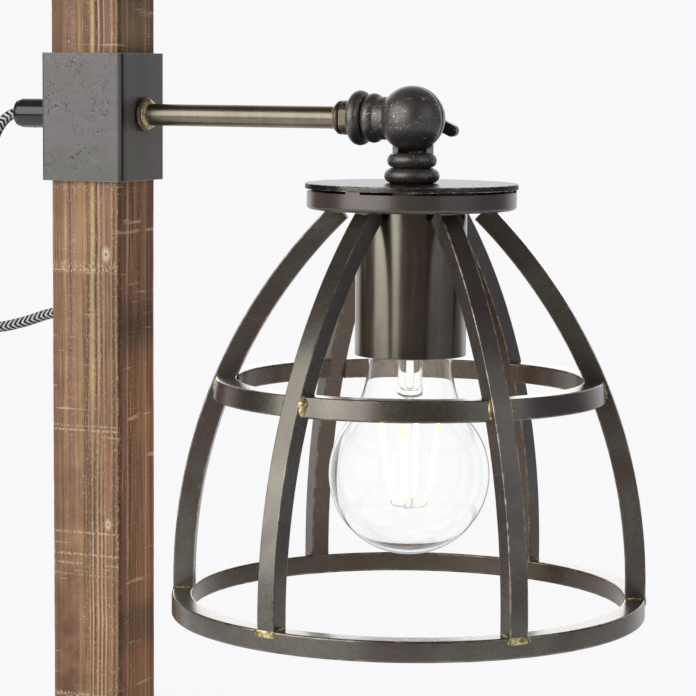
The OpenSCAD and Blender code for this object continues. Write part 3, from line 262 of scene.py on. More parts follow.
# Painted shade beside the sleeve's front right corner: its colour, and how far back from the front
# face its dark line and its fainter haze reach before and after fading
PAINTED_SHADE, PAINTED_SHADE_LINE, PAINTED_SHADE_HAZE = (0.012, 0.012, 0.012), (2.4 * MM, 3.1 * MM), (2.4 * MM, 6.5 * MM)


def pitted_zinc(name, dark, light, corner):
    """Blackened sheet with dark pits, cloudy tone and pale rubbed edges.

    corner is half the width. Beside the fold at the front right corner, a dark line and a fainter
    haze of painted shade are painted on the side face.
    """
    f = Finish(name)
    cloud = f.noise(38, 4, 0.6)
    grain = f.noise(1300, 3)
    tone = f.plus(f.times(cloud, 0.8), f.times(grain, 0.2))
    f.colour = f.ramp(tone, [(0.38, dark), (0.62, light)])
    pit_field = f.noise(1050, 3, 0.6)
    pits = f.times(f.span(pit_field, 0.38, 0.32), f.span(f.noise(85, 3), 0.46, 0.58))
    f.tint(f.times(pits, 0.6), PIT_DARK)
    pale = f.times(f.span(pit_field, 0.60, 0.68), f.span(f.noise(70, 3), 0.45, 0.6))
    f.tint(f.times(pale, 0.3), ZINC_PALE)
    edge = f.worn()
    x, y, _ = f.parts(f.place)
    # Painted shade on the side face beside the front right corner, kept off the rounded edge
    inwards = f.plus(y, corner)
    painted_shade = f.larger(f.span(inwards, *PAINTED_SHADE_LINE, 1, 0), f.span(inwards, *PAINTED_SHADE_HAZE, 0.45, 0))
    on_side = f.times(f.span(x, corner - 0.3 * MM, corner - 0.1 * MM),
                      f.span(x, corner + 0.1 * MM, corner + 0.3 * MM, 1, 0))
    painted_shade = f.times(f.times(painted_shade, on_side), f.span(edge, 0, 1, 1, 0))
    f.tint(painted_shade, PAINTED_SHADE)
    rub = f.span(f.noise(300, 4, 0.7), 0.42, 0.58, 0.3, 0.75)
    f.tint(f.times(edge, rub), ZINC_RUBBED)
    height = f.plus(f.times(pits, -1), f.times(grain, 0.25))
    return f.finished(Metallic=0.35, Normal=f.bump(height, 0.12 * MM),
                      Roughness=f.span(cloud, 0.3, 0.7, 0.36, 0.48), Specular_IOR_Level=0.35)


def plain_metal(name, colour, rough, spread=0.15):
    """Cleaner metal of screws, pins and fittings. spread is how much the grain darkens it."""
    f = Finish(name)
    grain = f.noise(1100, 3)
    dim = tuple(c * (1 - spread) for c in colour)
    f.colour = f.ramp(grain, [(0.35, dim), (0.65, colour)])
    return f.finished(Metallic=1.0, Roughness=f.span(grain, 0.3, 0.7, rough - 0.05, rough + 0.08),
                      Normal=f.bump(grain, 0.01 * MM))


def moulded(name, colour, rough, relief=0.015, coat=0.0):
    """Moulded plastic or rubber with a faint spark-eroded grain, relief millimetres deep."""
    f = Finish(name)
    grain = f.noise(1600, 3)
    lighter = tuple(min(1, c * 1.35 + 0.004) for c in colour)
    f.colour = f.mix(f.span(f.noise(60, 2), 0.35, 0.65), colour, lighter)
    return f.finished(Normal=f.bump(grain, relief * MM), Coat_Weight=coat,
                      Roughness=f.span(grain, 0.3, 0.7, rough - 0.05, rough + 0.07))


DARK_PINE, TAN_PINE, PALE_PINE = (0.115, 0.055, 0.031), (0.46, 0.31, 0.125), (0.88, 0.71, 0.49)
# PAINTED_LIGHT_PINE is the post's front colour, lighter than PINE by painted light
PINE, PAINTED_LIGHT_PINE = (0.54, 0.305, 0.182), (0.83, 0.465, 0.255)
# Noise scale, detail and roughness, where each layer of the grain starts and is full, its
# strength and its colour
GRAIN_LAYERS = (
    (95, 2, 0.55, 0.35, 0.65, 0.5, DARK_PINE), (330, 3, 0.6, 0.51, 0.63, 0.6, DARK_PINE),
    (410, 2, 0.55, 0.6, 0.7, 0.45, TAN_PINE), (1300, 3, 0.7, 0.48, 0.62, 0.5, DARK_PINE),
    (1900, 2, 0.55, 0.60, 0.68, 0.6, PALE_PINE))


def grain_factors(axis, along, across=1.0):
    """Factors per axis: one for the grain's own axis and another for those across it."""
    return tuple(along if k == axis else across for k in range(3))


def sawn_pine(name, grain, front=PINE, streaks=(), knots=(), saw_bands=(), torn_strips=()):
    """Rough-sawn pine, whose grain runs along the axis of that number.

    All places and widths are in millimetres. front is the base colour of the side that faces the
    viewer, lighter than the other sides by painted light. streaks are (axis, place, half width,
    colour, strength) lines of the grain, with two heights more where a line fades in from the
    first to the second. knots are (point, radius).
    saw_bands are (height, half width, strength, threshold) of rough bands across the front, and
    torn_strips are (axis, place, half width).
    """
    f = Finish(name)
    parts = f.parts(f.place)
    run = f.scaled(f.place, grain_factors(grain, 0.012))
    facing = f.span(parts[1], -14.3 * MM, -13.9 * MM, 1, 0)
    # Painted light: the side that faces the viewer takes the lighter front colour
    f.colour = f.mix(facing, PINE, front)
    for scale, detail, rough, low, high, strength, tint in GRAIN_LAYERS:
        f.tint(f.span(f.noise(scale, detail, rough, at=run), low, high, 0, strength), tint)
    slow = f.scaled(f.place, grain_factors(grain, 1.0, 0.35))
    sway = f.span(f.noise(16, 3, at=slow), 0.3, 0.7, -0.5 * MM, 0.5 * MM)
    flicker = f.span(f.noise(24, 3, at=f.scaled(f.place, (6, 6, 6))), 0.35, 0.6, 0.68, 1)
    for axis, place, half, tint, strength, *fade in streaks:
        away = f.apart(f.plus(parts[axis], sway), place * MM)
        line = f.times(f.span(away, 0.35 * half * MM, half * MM, strength, 0), flicker)
        if fade:
            line = f.times(line, f.span(parts[grain], *(height * MM for height in fade)))
        f.tint(line, tint)
    grit = f.noise(1600, 3, 0.7, at=f.scaled(f.place, grain_factors(grain, 0.45)))
    zones = f.span(f.noise(170, 2, at=run), 0.5, 0.58)
    for axis, place, half in torn_strips:
        away = f.apart(parts[axis], place * MM)
        torn = f.times(f.span(away, 0.7 * half * MM, half * MM, 1, 0),
                       f.span(parts[grain], 200 * MM, 270 * MM, 0.2, 1))
        zones = f.larger(zones, torn)
    specks = f.times(f.span(grit, 0.57, 0.65, 0, 0.5), zones)
    for height, half, strength, threshold in saw_bands:
        away = f.apart(f.plus(parts[grain], sway), height * MM)
        band = f.times(f.span(away, 0.4 * half * MM, half * MM, strength, 0),
                       f.span(grit, threshold, threshold + 0.06))
        specks = f.larger(specks, f.times(band, facing))
    f.tint(specks, PALE_PINE)
    pits = f.times(f.span(grit, 0.42, 0.34), zones)
    f.tint(f.times(pits, 0.5), DARK_PINE)
    scratch = f.noise(470, 3, 0.7, at=f.scaled(f.place, grain_factors(grain, 1.0, 0.05)))
    scratch = f.plus(scratch, f.span(parts[0], 14.0 * MM, 14.3 * MM, 0, 0.04))
    scratches = f.times(f.span(scratch, 0.64, 0.67), f.span(f.noise(75, 3), 0.46, 0.54))
    f.tint(f.times(scratches, 0.6), PALE_PINE)
    smudge = f.noise(60, 4, 0.6, at=f.scaled(f.place, (1.0, 1.0, 0.5)))
    f.tint(f.span(smudge, 0.5, 0.75, 0, 0.2), tuple(c * 0.62 for c in DARK_PINE))
    chips = f.span(f.noise(260, 4, 0.75), 0.52, 0.6, 0, 0.65)
    f.tint(f.times(f.worn(), chips), PALE_PINE)
    for point, radius in knots:
        halo = f.near(tuple(c * MM for c in point), radius * MM, grain_factors(grain, 0.6))
        f.tint(f.span(halo, 0.15, 0.65, 0.0, 0.85), PALE_PINE)
        f.tint(f.span(halo, 0.80, 0.90, 0.0, 0.8), tuple(c * 0.5 for c in DARK_PINE))
    height = f.plus(f.plus(f.noise(900, 3, at=run), f.times(grit, 0.4)), f.times(scratches, -0.4))
    return f.finished(Roughness=f.span(grit, 0.3, 0.7, 0.5, 0.75), Specular_IOR_Level=0.22,
                      Normal=f.bump(height, 0.3 * MM))


BRAID_PERIOD, BRAID_SLOPE, BRAID_RIDGES = 2.1 * MM, 1.7, 3
BRAID_BLACK, BRAID_WHITE = (0.008, 0.008, 0.010), (0.80, 0.785, 0.75)


def braided_cloth(name):
    """Black and white braid. The map lay holds metres along the cord and turns round it."""
    f = Finish(name)
    along, around_cord, _ = f.parts(f.put("UVMap", uv_map="lay"))
    chevron = f.math("PINGPONG", f.plus(f.times(around_cord, BRAID_RIDGES), 0.5), 0.5)
    periods = f.math("DIVIDE", along, BRAID_PERIOD)
    phase = f.math("SUBTRACT", periods, f.times(chevron, BRAID_SLOPE))
    stripe = f.math("PINGPONG", phase, 0.5)
    fuzz = f.times(f.math("SUBTRACT", f.noise(2600, 3), 0.5), 0.1)
    white = f.span(f.plus(stripe, fuzz), 0.225, 0.275)
    thread = f.math("PINGPONG", f.times(phase, 3), 0.5)
    height = f.plus(thread, f.times(f.noise(3800, 2), 0.4))
    f.colour = f.mix(white, BRAID_BLACK, BRAID_WHITE)
    return f.finished(Roughness=0.85, Normal=f.bump(height, 0.18 * MM),
                      Sheen_Weight=0.06, Sheen_Roughness=0.4)


def felt():
    f = Finish("felt")
    fibre = f.noise(2200, 5, 0.7)
    f.colour = f.ramp(fibre, [(0.35, (0.02, 0.022, 0.02)), (0.65, (0.06, 0.065, 0.06))])
    return f.finished(Roughness=0.95, Normal=f.bump(fibre, 0.3 * MM), Sheen_Weight=0.4)


def braze_gold():
    f = Finish("braze")
    grain = f.noise(620, 4, 0.6)
    f.colour = f.ramp(grain, [(0.36, (0.20, 0.145, 0.07)), (0.46, (0.48, 0.37, 0.17)),
                              (0.60, (0.86, 0.71, 0.40))])
    return f.finished(Metallic=0.75, Normal=f.bump(grain, 0.1 * MM),
                      Roughness=f.span(grain, 0.3, 0.7, 0.5, 0.28))


def clear_glass(name, tint, ior, lit):
    """Glass with faint waves, and a faint painted glow that stands for the haze of light from the
    sticks.
    """
    f = Finish(name)
    waves = f.bump(f.noise(70, 2), 0.008 * MM)
    f.colour = (*tint, 1)
    # lit is the strength of the painted glow on the glass
    return f.finished(Roughness=0.0, IOR=ior, Transmission_Weight=1.0, Normal=waves,
                      Emission_Color=(1.0, 0.99, 0.96, 1), Emission_Strength=lit)


def phosphor():
    """Coated sticks, lit along their length and dull yellow at their ends, which edge marks."""
    f = Finish("phosphor")
    grain = f.noise(1800, 3)
    f.colour = f.ramp(grain, [(0.35, (1.0, 0.93, 0.66)), (0.65, (1.0, 0.98, 0.84))])
    f.tint(f.worn(), (0.95, 0.85, 0.25))
    glow = f.mix(f.worn(), (1.0, 0.98, 0.90), (1.0, 0.92, 0.48))
    return f.finished(Roughness=0.6, Emission_Color=glow, Emission_Strength=1.1,
                      Normal=f.bump(grain, 0.03 * MM))


# Grain lines of the post in millimetres: place, half width, colour, strength and, where a line
# doesn't run the whole height, the two heights between which it fades in
UPPER, LOWER, LOW_THIRD, LOW_LEFT = (225, 265), (265, 215), (240, 190), (235, 180)
TONES_BY_HEIGHT = ((430, 200, (0.22, 0.12, 0.08), 0.6, 375, 392),
                   (140, 75, (0.58, 0.29, 0.13), 0.35))
FRONT_LINES = (
    (-12.8, 1.6, (0.24, 0.125, 0.075), 0.5), (-10.0, 0.7, (0.30, 0.19, 0.09), 0.5),
    (-6.2, 2.8, (0.38, 0.235, 0.185), 0.4), (-6.5, 9.0, (0.22, 0.112, 0.066), 0.85, 215, 168),
    (-2.4, 0.9, (0.60, 0.43, 0.18), 0.8), (1.8, 0.55, (0.84, 0.56, 0.34), 0.7, *LOW_LEFT),
    (2.6, 0.45, DARK_PINE, 0.75, *LOW_LEFT), (3.3, 1.15, (0.97, 0.74, 0.33), 0.95, *UPPER),
    (3.3, 0.60, (0.90, 0.66, 0.38), 0.9, *LOWER), (4.0, 0.45, DARK_PINE, 0.75, *LOWER),
    (5.1, 0.5, DARK_PINE, 0.85, *UPPER), (5.5, 0.65, (0.96, 0.70, 0.41), 0.95, *LOWER),
    (6.1, 0.5, (0.90, 0.62, 0.43), 0.9, *UPPER), (6.4, 0.45, DARK_PINE, 0.75, *LOWER),
    (7.2, 0.5, (0.17, 0.085, 0.06), 0.8, *UPPER), (7.2, 0.6, (0.92, 0.66, 0.40), 0.9, *LOWER),
    (8.0, 0.45, (0.15, 0.075, 0.05), 0.75, *LOWER), (8.4, 0.4, (0.80, 0.57, 0.38), 0.8, *UPPER),
    (9.0, 0.55, (0.90, 0.63, 0.37), 0.85, *LOW_THIRD), (9.6, 0.9, (0.34, 0.21, 0.19), 0.7, *UPPER),
    (9.8, 0.45, (0.18, 0.095, 0.07), 0.7, *LOW_THIRD), (11.7, 0.6, (0.78, 0.46, 0.25), 0.8),
    (12.6, 0.5, (0.22, 0.13, 0.09), 0.6), (13.8, 0.6, (0.66, 0.46, 0.22), 0.7))
SIDE_LINES = (
    (-13.0, 1.9, (0.11, 0.055, 0.038), 0.9), (-11.2, 0.35, DARK_PINE, 0.7),
    (-9.2, 0.35, (0.09, 0.045, 0.04), 0.9), (-7.0, 0.45, (0.66, 0.51, 0.35), 0.9),
    (-5.5, 0.4, DARK_PINE, 0.6), (7.4, 0.6, (0.64, 0.50, 0.26), 0.85),
    (8.8, 0.4, (0.10, 0.055, 0.04), 0.7), (12.0, 1.6, (0.15, 0.095, 0.075), 0.6))
POST_STREAKS = [(axis, *line) for axis, lines in ((2, TONES_BY_HEIGHT), (0, FRONT_LINES),
                                                  (1, SIDE_LINES)) for line in lines]
SAW_BANDS = (
    (342.5, 1.8, 0.5, 0.55), (311.2, 2.8, 0.8, 0.52), (249.7, 0.5, 0.5, 0.48),
    (248.0, 0.55, 0.6, 0.45), (207.7, 0.7, 0.7, 0.49), (199.0, 0.7, 0.8, 0.48),
    (195.3, 0.6, 0.55, 0.48), (191.0, 0.5, 0.4, 0.48), (143.0, 1.3, 0.8, 0.50),
    (109.0, 0.7, 0.7, 0.45), (77.0, 2.4, 0.8, 0.52))
POST_KNOTS = (((9.3, -14.5, 316.5), 2.7), ((10.0, -14.5, 211.5), 2.0), ((-4, -14.5, 96), 4.0))
TORN_STRIPS = ((0, -6.2, 2.6), (0, 12.5, 1.5))

PLAIN_METALS = {
    "ballast": ((0.30, 0.30, 0.31), 0.45),
    "fasteners": ((0.50, 0.50, 0.51), 0.35),
    "clip_metal": ((0.42, 0.41, 0.40), 0.32),
    "switch_fasteners": ((0.48, 0.48, 0.49), 0.35),
    "terminal_brass": ((0.66, 0.50, 0.24), 0.35),
    "pin_metal": ((0.72, 0.71, 0.69), 0.18, 0.06),
    "fitting_brass": ((0.58, 0.46, 0.25), 0.35),
    "cap_metal": ((0.70, 0.70, 0.69), 0.3),
}
PLASTICS = {
    "gland_black": ((0.012, 0.012, 0.014), 0.16, 0.004, 0.5),
    "collet": ((0.72, 0.70, 0.62), 0.5),
    "wire": ((0.20, 0.10, 0.06), 0.45),
    "black_plastic": ((0.018, 0.018, 0.019), 0.42, 0.03),
    "switch_rubber": ((0.022, 0.022, 0.022), 0.7, 0.05),
    "rocker_plastic": ((0.025, 0.025, 0.026), 0.25, 0.006),
    "holder_plastic": ((0.02, 0.02, 0.02), 0.3),
}
AGED_METALS = {
    "arm_brass": dict(dark=(0.19, 0.172, 0.130), light=(0.29, 0.264, 0.203), rough=0.3,
                      brushed=(1.0, 0.1, 0.1), relief=0.015),
    "arm_fittings": dict(dark=(0.11, 0.088, 0.068), light=(0.24, 0.19, 0.145), rough=0.4,
                         bare=(0.62, 0.5, 0.3), wear=0.8, flecks=0.3),
    "knuckle_metal": dict(dark=(0.120, 0.114, 0.109), light=(0.180, 0.172, 0.165), rough=0.42,
                          bare=(0.80, 0.78, 0.74), wear=0.9, flecks=1.0, metallic=0.85,
                          relief=0.04, coat=0.2, coat_rough=0.25, seam=(tuple(SHADE), 12.5 * MM)),
    "cover_metal": dict(dark=(0.07, 0.064, 0.06), light=(0.12, 0.11, 0.103), rough=0.27,
                        bare=(0.75, 0.72, 0.66), wear=0.6, flecks=0.5, relief=0.01,
                        grazing=(0.42, 0.42, 0.43)),
    "pan_metal": dict(dark=(0.120, 0.102, 0.093), light=(0.165, 0.142, 0.130), rough=0.30,
                      wear=0.4, coat=0.25, metallic=0.65, relief=0.008),
    "cage_metal": dict(dark=(0.150, 0.140, 0.114), light=(0.212, 0.198, 0.164), rough=0.29,
                       cloud=(0.130, 0.108, 0.100), bare=(0.50, 0.46, 0.39), wear=0.4,
                       flecks=0.2, coat=0.25, coat_rough=0.12, metallic=0.85, relief=0.004,
                       # inside: painted shade on the bars' faces towards the shade's axis
                       inside=(0.112, 0.088, 0.066)),
    "cup_metal": dict(dark=(0.190, 0.177, 0.146), light=(0.26, 0.243, 0.20), rough=0.20,
                      brushed=(1.0, 1.0, 0.05), relief=0.003, metallic=0.95, flecks=0.25),
}
FINISHES = {
    "felt": felt(),
    "board_wood": sawn_pine("board_wood", 0),
    "post_wood": sawn_pine("post_wood", 2, PAINTED_LIGHT_PINE, POST_STREAKS, POST_KNOTS, SAW_BANDS,
                           TORN_STRIPS),
    "sleeve_steel": pitted_zinc("sleeve_steel", (0.150, 0.150, 0.132), (0.205, 0.192, 0.198),
                                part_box("sleeve")[1].x),
    "braze": braze_gold(),
    "cord_cloth": braided_cloth("cord_cloth"),
    "bulb_glass": clear_glass("bulb_glass", (0.99, 0.995, 0.99), 1.24, 0.011),
    "stem_glass": clear_glass("stem_glass", (0.985, 0.99, 0.975), 1.12, 0.01),
    "filament": phosphor(),
}
FINISHES.update((name, plain_metal(name, *look)) for name, look in PLAIN_METALS.items())
FINISHES.update((name, moulded(name, *look)) for name, look in PLASTICS.items())
FINISHES.update((name, aged_metal(name, **look)) for name, look in AGED_METALS.items())
SLOT_OF = {part["node"]: part["material_slot"] for part in frame["record"]["subparts"]}


# Mesh helpers

SHARP_ANGLE, ROUNDED_ANGLE, FLAT_ANGLE = (radians(degrees) for degrees in (50, 38, 0.5))
SAME_PLACE = 1e-6


def circle(count):
    """Evenly spaced angles of one full turn."""
    return [tau * k / count for k in range(count)]


def spaced(start, end, steps):
    """Numbers or points from a start to an end, with both of them, in equal steps."""
    return [start + (end - start) * (k / steps) for k in range(steps + 1)]


def around(angle, radius, z):
    """Point at an angle and a distance round the shade's own axis."""
    return Vector((SHADE_X + radius * cos(angle), radius * sin(angle), z))


def directions(angle):
    """Directions away from an upright axis at an angle round it, and along the circle there."""
    return Vector((cos(angle), sin(angle), 0)), Vector((-sin(angle), cos(angle), 0))


def rounded(points, radius, steps):
    """Closed flat outline with its corners as arcs: (a, b, flag), where flag marks an arc."""
    out = []
    for i, point in enumerate(points):
        p = Vector(point)
        before, after = Vector(points[i - 1]) - p, Vector(points[(i + 1) % len(points)]) - p
        cut = radius / tan(before.angle(after) / 2)
        start, end = p + before.normalized() * cut, p + after.normalized() * cut
        for t in spaced(0, 1, steps):
            q = start * (1 - t) ** 2 + p * 2 * t * (1 - t) + end * t ** 2
            out.append((q.x, q.y, int(t < 1)))
    return out


def skin(bm, rows, closed=False, flags=None):
    """Faces between closed rings of vertices. flags says how worn each column of faces is."""
    edge = bm.faces.layers.float.get("edge") or bm.faces.layers.float.new("edge")
    for one, two in zip(rows, rows[1:] + rows[:1] if closed else rows[1:]):
        for k in range(len(one)):
            n = (k + 1) % len(one)
            face = bm.faces.new((one[k], one[n], two[n], two[k]))
            face.smooth = True
            if flags:
                face[edge] = flags[k]


def close_ends(bm, rows):
    bm.faces.new(rows[0][::-1])
    bm.faces.new(rows[-1])


def swept(bm, rows, closed=False, flags=None):
    """Skin over rings that either close on themselves or end in a flat face at both ends."""
    skin(bm, rows, closed, flags)
    if not closed:
        close_ends(bm, rows)


def lathe(bm, profile, segments):
    """Turns (radius, height) points round the shade's own axis. Points on the axis close it."""
    rows = [[bm.verts.new(around(a, r, z)) for a in circle(segments if r > 1e-7 else 1)]
            for r, z in profile]
    for one, two in zip(rows, rows[1:]):
        for k in range(segments):
            n = (k + 1) % segments
            if len(one) == 1:
                corners = (one[0], two[k], two[n])
            elif len(two) == 1:
                corners = (one[k], one[n], two[0])
            else:
                corners = (one[k], one[n], two[n], two[k])
            bm.faces.new(corners).smooth = True


def shaken(bm, amount, scale, seed=0.0):
    """Moves each vertex along its normal by smooth noise, as on cast or hand-filed metal."""
    bm.normal_update()
    for v in bm.verts:
        v.co += v.normal * amount * noise.fractal(v.co * scale + Vector((seed, 0, 0)), 0.8, 2.1, 3)


def mesh_of(name, bm, material):
    mesh = bpy.data.meshes.new(name)
    bm.to_mesh(mesh)
    bm.free()
    mesh.materials.append(material)
    return mesh


def piece(name, bm, slot, body, replaced=(), keep_normals=False):
    """Turns a bmesh into a finished piece that rides on a body and stands for CAD nodes."""
    bmesh.ops.recalc_face_normals(bm, faces=bm.faces)
    obj = linked(name, mesh_of(name, bm, FINISHES[slot]))
    if not keep_normals:
        obj.data.set_sharp_from_angle(angle=SHARP_ANGLE)
        obj.modifiers.new("normals", "WEIGHTED_NORMAL").keep_sharp = True
    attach(obj, body)
    if replaced:
        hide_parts(*replaced)
    return obj


def look_of(node, bm, **options):
    """Piece that takes a CAD node's place, with the node's own slot and body."""
    return piece(node + "_look", bm, SLOT_OF[node], nodes[node]["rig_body"], [node], **options)


def eased(node, width, dents):
    """Own piece in a CAD node's shape, with rounded edges that are marked as worn.

    width is how far an edge is rounded and dents how deep the marks in the surface are, both
    in millimetres.
    """
    mesh = nodes[node].data.copy()
    for name in ("custom_normal", "sharp_edge", "sharp_face"):
        if name in mesh.attributes:
            mesh.attributes.remove(mesh.attributes[name])
    bm = bmesh.new()
    bm.from_mesh(mesh)
    bpy.data.meshes.remove(mesh)
    bmesh.ops.remove_doubles(bm, verts=bm.verts, dist=SAME_PLACE)
    bmesh.ops.dissolve_limit(bm, angle_limit=FLAT_ANGLE, verts=bm.verts, edges=bm.edges)
    edge = bm.faces.layers.float.new("edge")
    corners = [e for e in bm.edges if e.is_manifold and e.calc_face_angle() > ROUNDED_ANGLE]
    if corners:
        made = bmesh.ops.bevel(bm, geom=corners, offset=width * MM, segments=3, profile=0.5,
                               affect="EDGES", clamp_overlap=True)
        for face in made["faces"]:
            face[edge] = 1
    for face in bm.faces:
        face.smooth = True
        face.material_index = 0
    if dents:
        shaken(bm, dents * MM, 160)
    look_of(node, bm)


# Cords: one from the gland to the switch, and one from the switch through the coil to the plug

CORD_R = 2.1 * MM
UPPER_ROUTE = [
    (-36.6, 0, 370), (-41, 0, 369.4), (-45.3, 0, 366.6), (-48.9, 0.1, 361.4), (-53.4, 0.6, 351.6),
    (-60, 1.5, 337.6), (-66.4, 3, 324), (-71.3, 4.6, 311.5), (-72.6, 6.8, 299), (-67.8, 9, 288.3),
    (-57.6, 11.3, 283.4), (-46, 13.7, 285.4), (-34.5, 16.2, 289.2), (-23.5, 17, 291.3),
    (-13, 17, 289.3), (-5.2, 17, 281.5), (-1.2, 17, 270), (0, 17, 256), (0, 17, 200), (0, 17, 130),
    (0, 18.9, 94), (0, 20.6, 66), (0, 23.4, 51), (0, 30.5, 39), (0, 42, 33.2), (0, 55, 32.4),
    (0, 67, 32.4), (0, 76, 33), (0, 83.6, 32.9), (0, 89.7, 29.2), (0, 94.4, 23.2),
    (0, 100.4, 15.2), (0, 108, 8), (0, 119, 3.2), (0, 132, 2.25), (2.6, 144, 2.25),
    (11, 153.2, 2.45), (22.5, 156, 4.5), (33.6, 156, 7), (38, 156, 7)]
LOWER_ROUTE = [
    (108, 156, 7), (111.5, 156, 7), (118.5, 156, 5.6), (126, 156, 3.2), (132, 156, 2.2),
    (136, 156, 2.2)]
COIL_TURNS = 7.25
COIL_PITCH = 4.65 * MM
COIL_OUTER = 25.2 * MM + COIL_PITCH * COIL_TURNS / 4
COIL_CENTRE = Vector((0.1402, 0.156 - COIL_OUTER, 0.0022))


def route_line(route, spacing):
    """Points, about one spacing apart, on the smooth curve through a route in millimetres."""
    p = [Vector(point) * MM for point in route]
    line = []
    for i in range(len(p) - 1):
        a, b, c, d = p[max(i - 1, 0)], p[i], p[i + 1], p[min(i + 2, len(p) - 1)]
        parts = max(1, ceil((c - b).length / spacing))
        for u in spaced(0, 1, parts)[:-1]:
            line.append(b + 0.5 * u * (c - a) + 0.5 * u * u * (2 * a - 5 * b + 4 * c - d)
                        + 0.5 * u ** 3 * (3 * b - 3 * c + d - a))
    return line + [p[-1]]


def coil_line(steps):
    """The coil's centreline: in on the lower layer, out on the upper one, then to the plug."""
    half = COIL_TURNS / 2
    line = []
    for i in range(int(COIL_TURNS * steps) + 1):
        t = i / steps
        r = COIL_OUTER - COIL_PITCH * (half - abs(half - t))
        climb = min(max(2 * (t - half) + 0.5, 0), 1)
        a = radians(90 - 360 * t)
        line.append(COIL_CENTRE + Vector((r * cos(a), r * sin(a),
                                          COIL_PITCH * (3 - 2 * climb) * climb * climb)))
    end = Vector((COIL_CENTRE.x + COIL_OUTER, COIL_CENTRE.y - 10 * MM, line[-1].z))
    return line + spaced(line[-1], end, 4)[1:]


def line_length(line):
    return sum((b - a).length for a, b in zip(line, line[1:]))


def carried(line, first=None, closed=False):
    """Each point of a line with two directions across it, turned as little as possible."""
    side = first
    for i, point in enumerate(line):
        after = line[(i + 1) % len(line)] if closed else line[min(i + 1, len(line) - 1)]
        before = line[i - 1] if closed else line[max(i - 1, 0)]
        ahead = (after - before).normalized()
        across = ahead.orthogonal() if side is None else side - ahead * side.dot(ahead)
        side = across.normalized()
        yield point, side, ahead.cross(side)


def tube_rings(bm, line, radius, sides, first=Vector((0, 1, 0))):
    """Rings of vertices along a line. radius is one length, or a list with one for each point."""
    radii = radius if isinstance(radius, list) else [radius] * len(line)
    return [[bm.verts.new(point + r * (cos(a) * side + sin(a) * up)) for a in circle(sides)]
            for r, (point, side, up) in zip(radii, carried(line, first))]


CORD_SIDES, CORD_TURNED = 16, radians(20)


def cord_piece(name, line, replaced):
    """Round cord along a line, whose map lay holds metres along it and turns round it."""
    bm = bmesh.new()
    lay = bm.loops.layers.uv.new("lay")
    first = Vector((0, cos(CORD_TURNED), sin(CORD_TURNED)))
    rings = tube_rings(bm, line, CORD_R, CORD_SIDES, first)
    travelled = 0.0
    for i, (one, two) in enumerate(zip(rings, rings[1:])):
        step = (line[i + 1] - line[i]).length
        for k in range(CORD_SIDES):
            n = (k + 1) % CORD_SIDES
            face = bm.faces.new((one[k], one[n], two[n], two[k]))
            face.smooth = True
            for loop, (u, v) in zip(face.loops, ((0, k), (0, k + 1), (1, k + 1), (1, k))):
                loop[lay].uv = (travelled + u * step, v / CORD_SIDES)
        travelled += step
    close_ends(bm, rings)
    return piece(name, bm, "cord_cloth", "stand", replaced)


ROUTE_STEP, COIL_STEPS = 1.6 * MM, 80
upper_line = route_line(UPPER_ROUTE, ROUTE_STEP)
lower_line = route_line(LOWER_ROUTE, ROUTE_STEP)[:-1] + coil_line(COIL_STEPS)
cord_to_switch = cord_piece("cord_to_switch", upper_line, ["cord_upper"])
cord_to_plug = cord_piece("cord_to_plug", lower_line, ["cord_lower", "cord_coil"])

TIE_TURN = radians(215)
TIE_THICK, TIE_HALF, LAP_HALF = 0.5 * MM, 3.2 * MM, 3.1 * MM
TIE_CLEAR, TIE_SOLE = 0.4 * MM, 0.09 * MM


def coil_tie():
    """Narrow strap round the coil's turns, thin under them, with its end lapped over on top."""
    bm = bmesh.new()
    inner = COIL_OUTER - COIL_PITCH * COIL_TURNS / 2 - CORD_R - TIE_CLEAR
    outer = COIL_OUTER + CORD_R + TIE_CLEAR
    over = COIL_CENTRE.z + COIL_PITCH + CORD_R + 0.15 * MM
    out, along = directions(TIE_TURN)
    base = Vector((COIL_CENTRE.x, COIL_CENTRE.y, 0))

    def strap(inside, outside, half, closed):
        rows = [[bm.verts.new(base + out * r + Vector((0, 0, z)) + along * w)
                 for (r, z), w in ((a, -half), (b, -half), (b, half), (a, half))]
                for a, b in zip(inside, outside)]
        swept(bm, rows, closed)

    def loop(grow, sole):
        corners = [(inner - grow, sole), (outer + grow, sole), (outer + grow, over + grow),
                   (inner - grow, over + grow)]
        return [(x, z) for x, z, _ in rounded(corners, 2.6 * MM, 6)]

    strap(loop(0, TIE_SOLE), loop(TIE_THICK, 0.02 * MM), TIE_HALF, True)
    lap = [(inner + (outer - inner) * share, over + 0.52 * MM) for share in (0.3, 0.5, 0.7, 0.88)]
    strap(lap, [(x, z + 0.45 * MM) for x, z in lap], LAP_HALF, False)
    piece("coil_tie", bm, "switch_rubber", "stand")


coil_tie()


# Post

POST_EASE, POST_COLUMNS, POST_ROW = 0.4 * MM, 26, 1.5 * MM
POST_CORNER = (22, 45, 68)
# Distance below the top and how far the edge draws in there, in millimetres
POST_TOP = ((0.3, 0.15), (0.05, 0.4), (0, 1.0))
GROOVE_DEEP, DIP_DEEP, CHIP_DEEP = 0.08, 0.10, 0.25


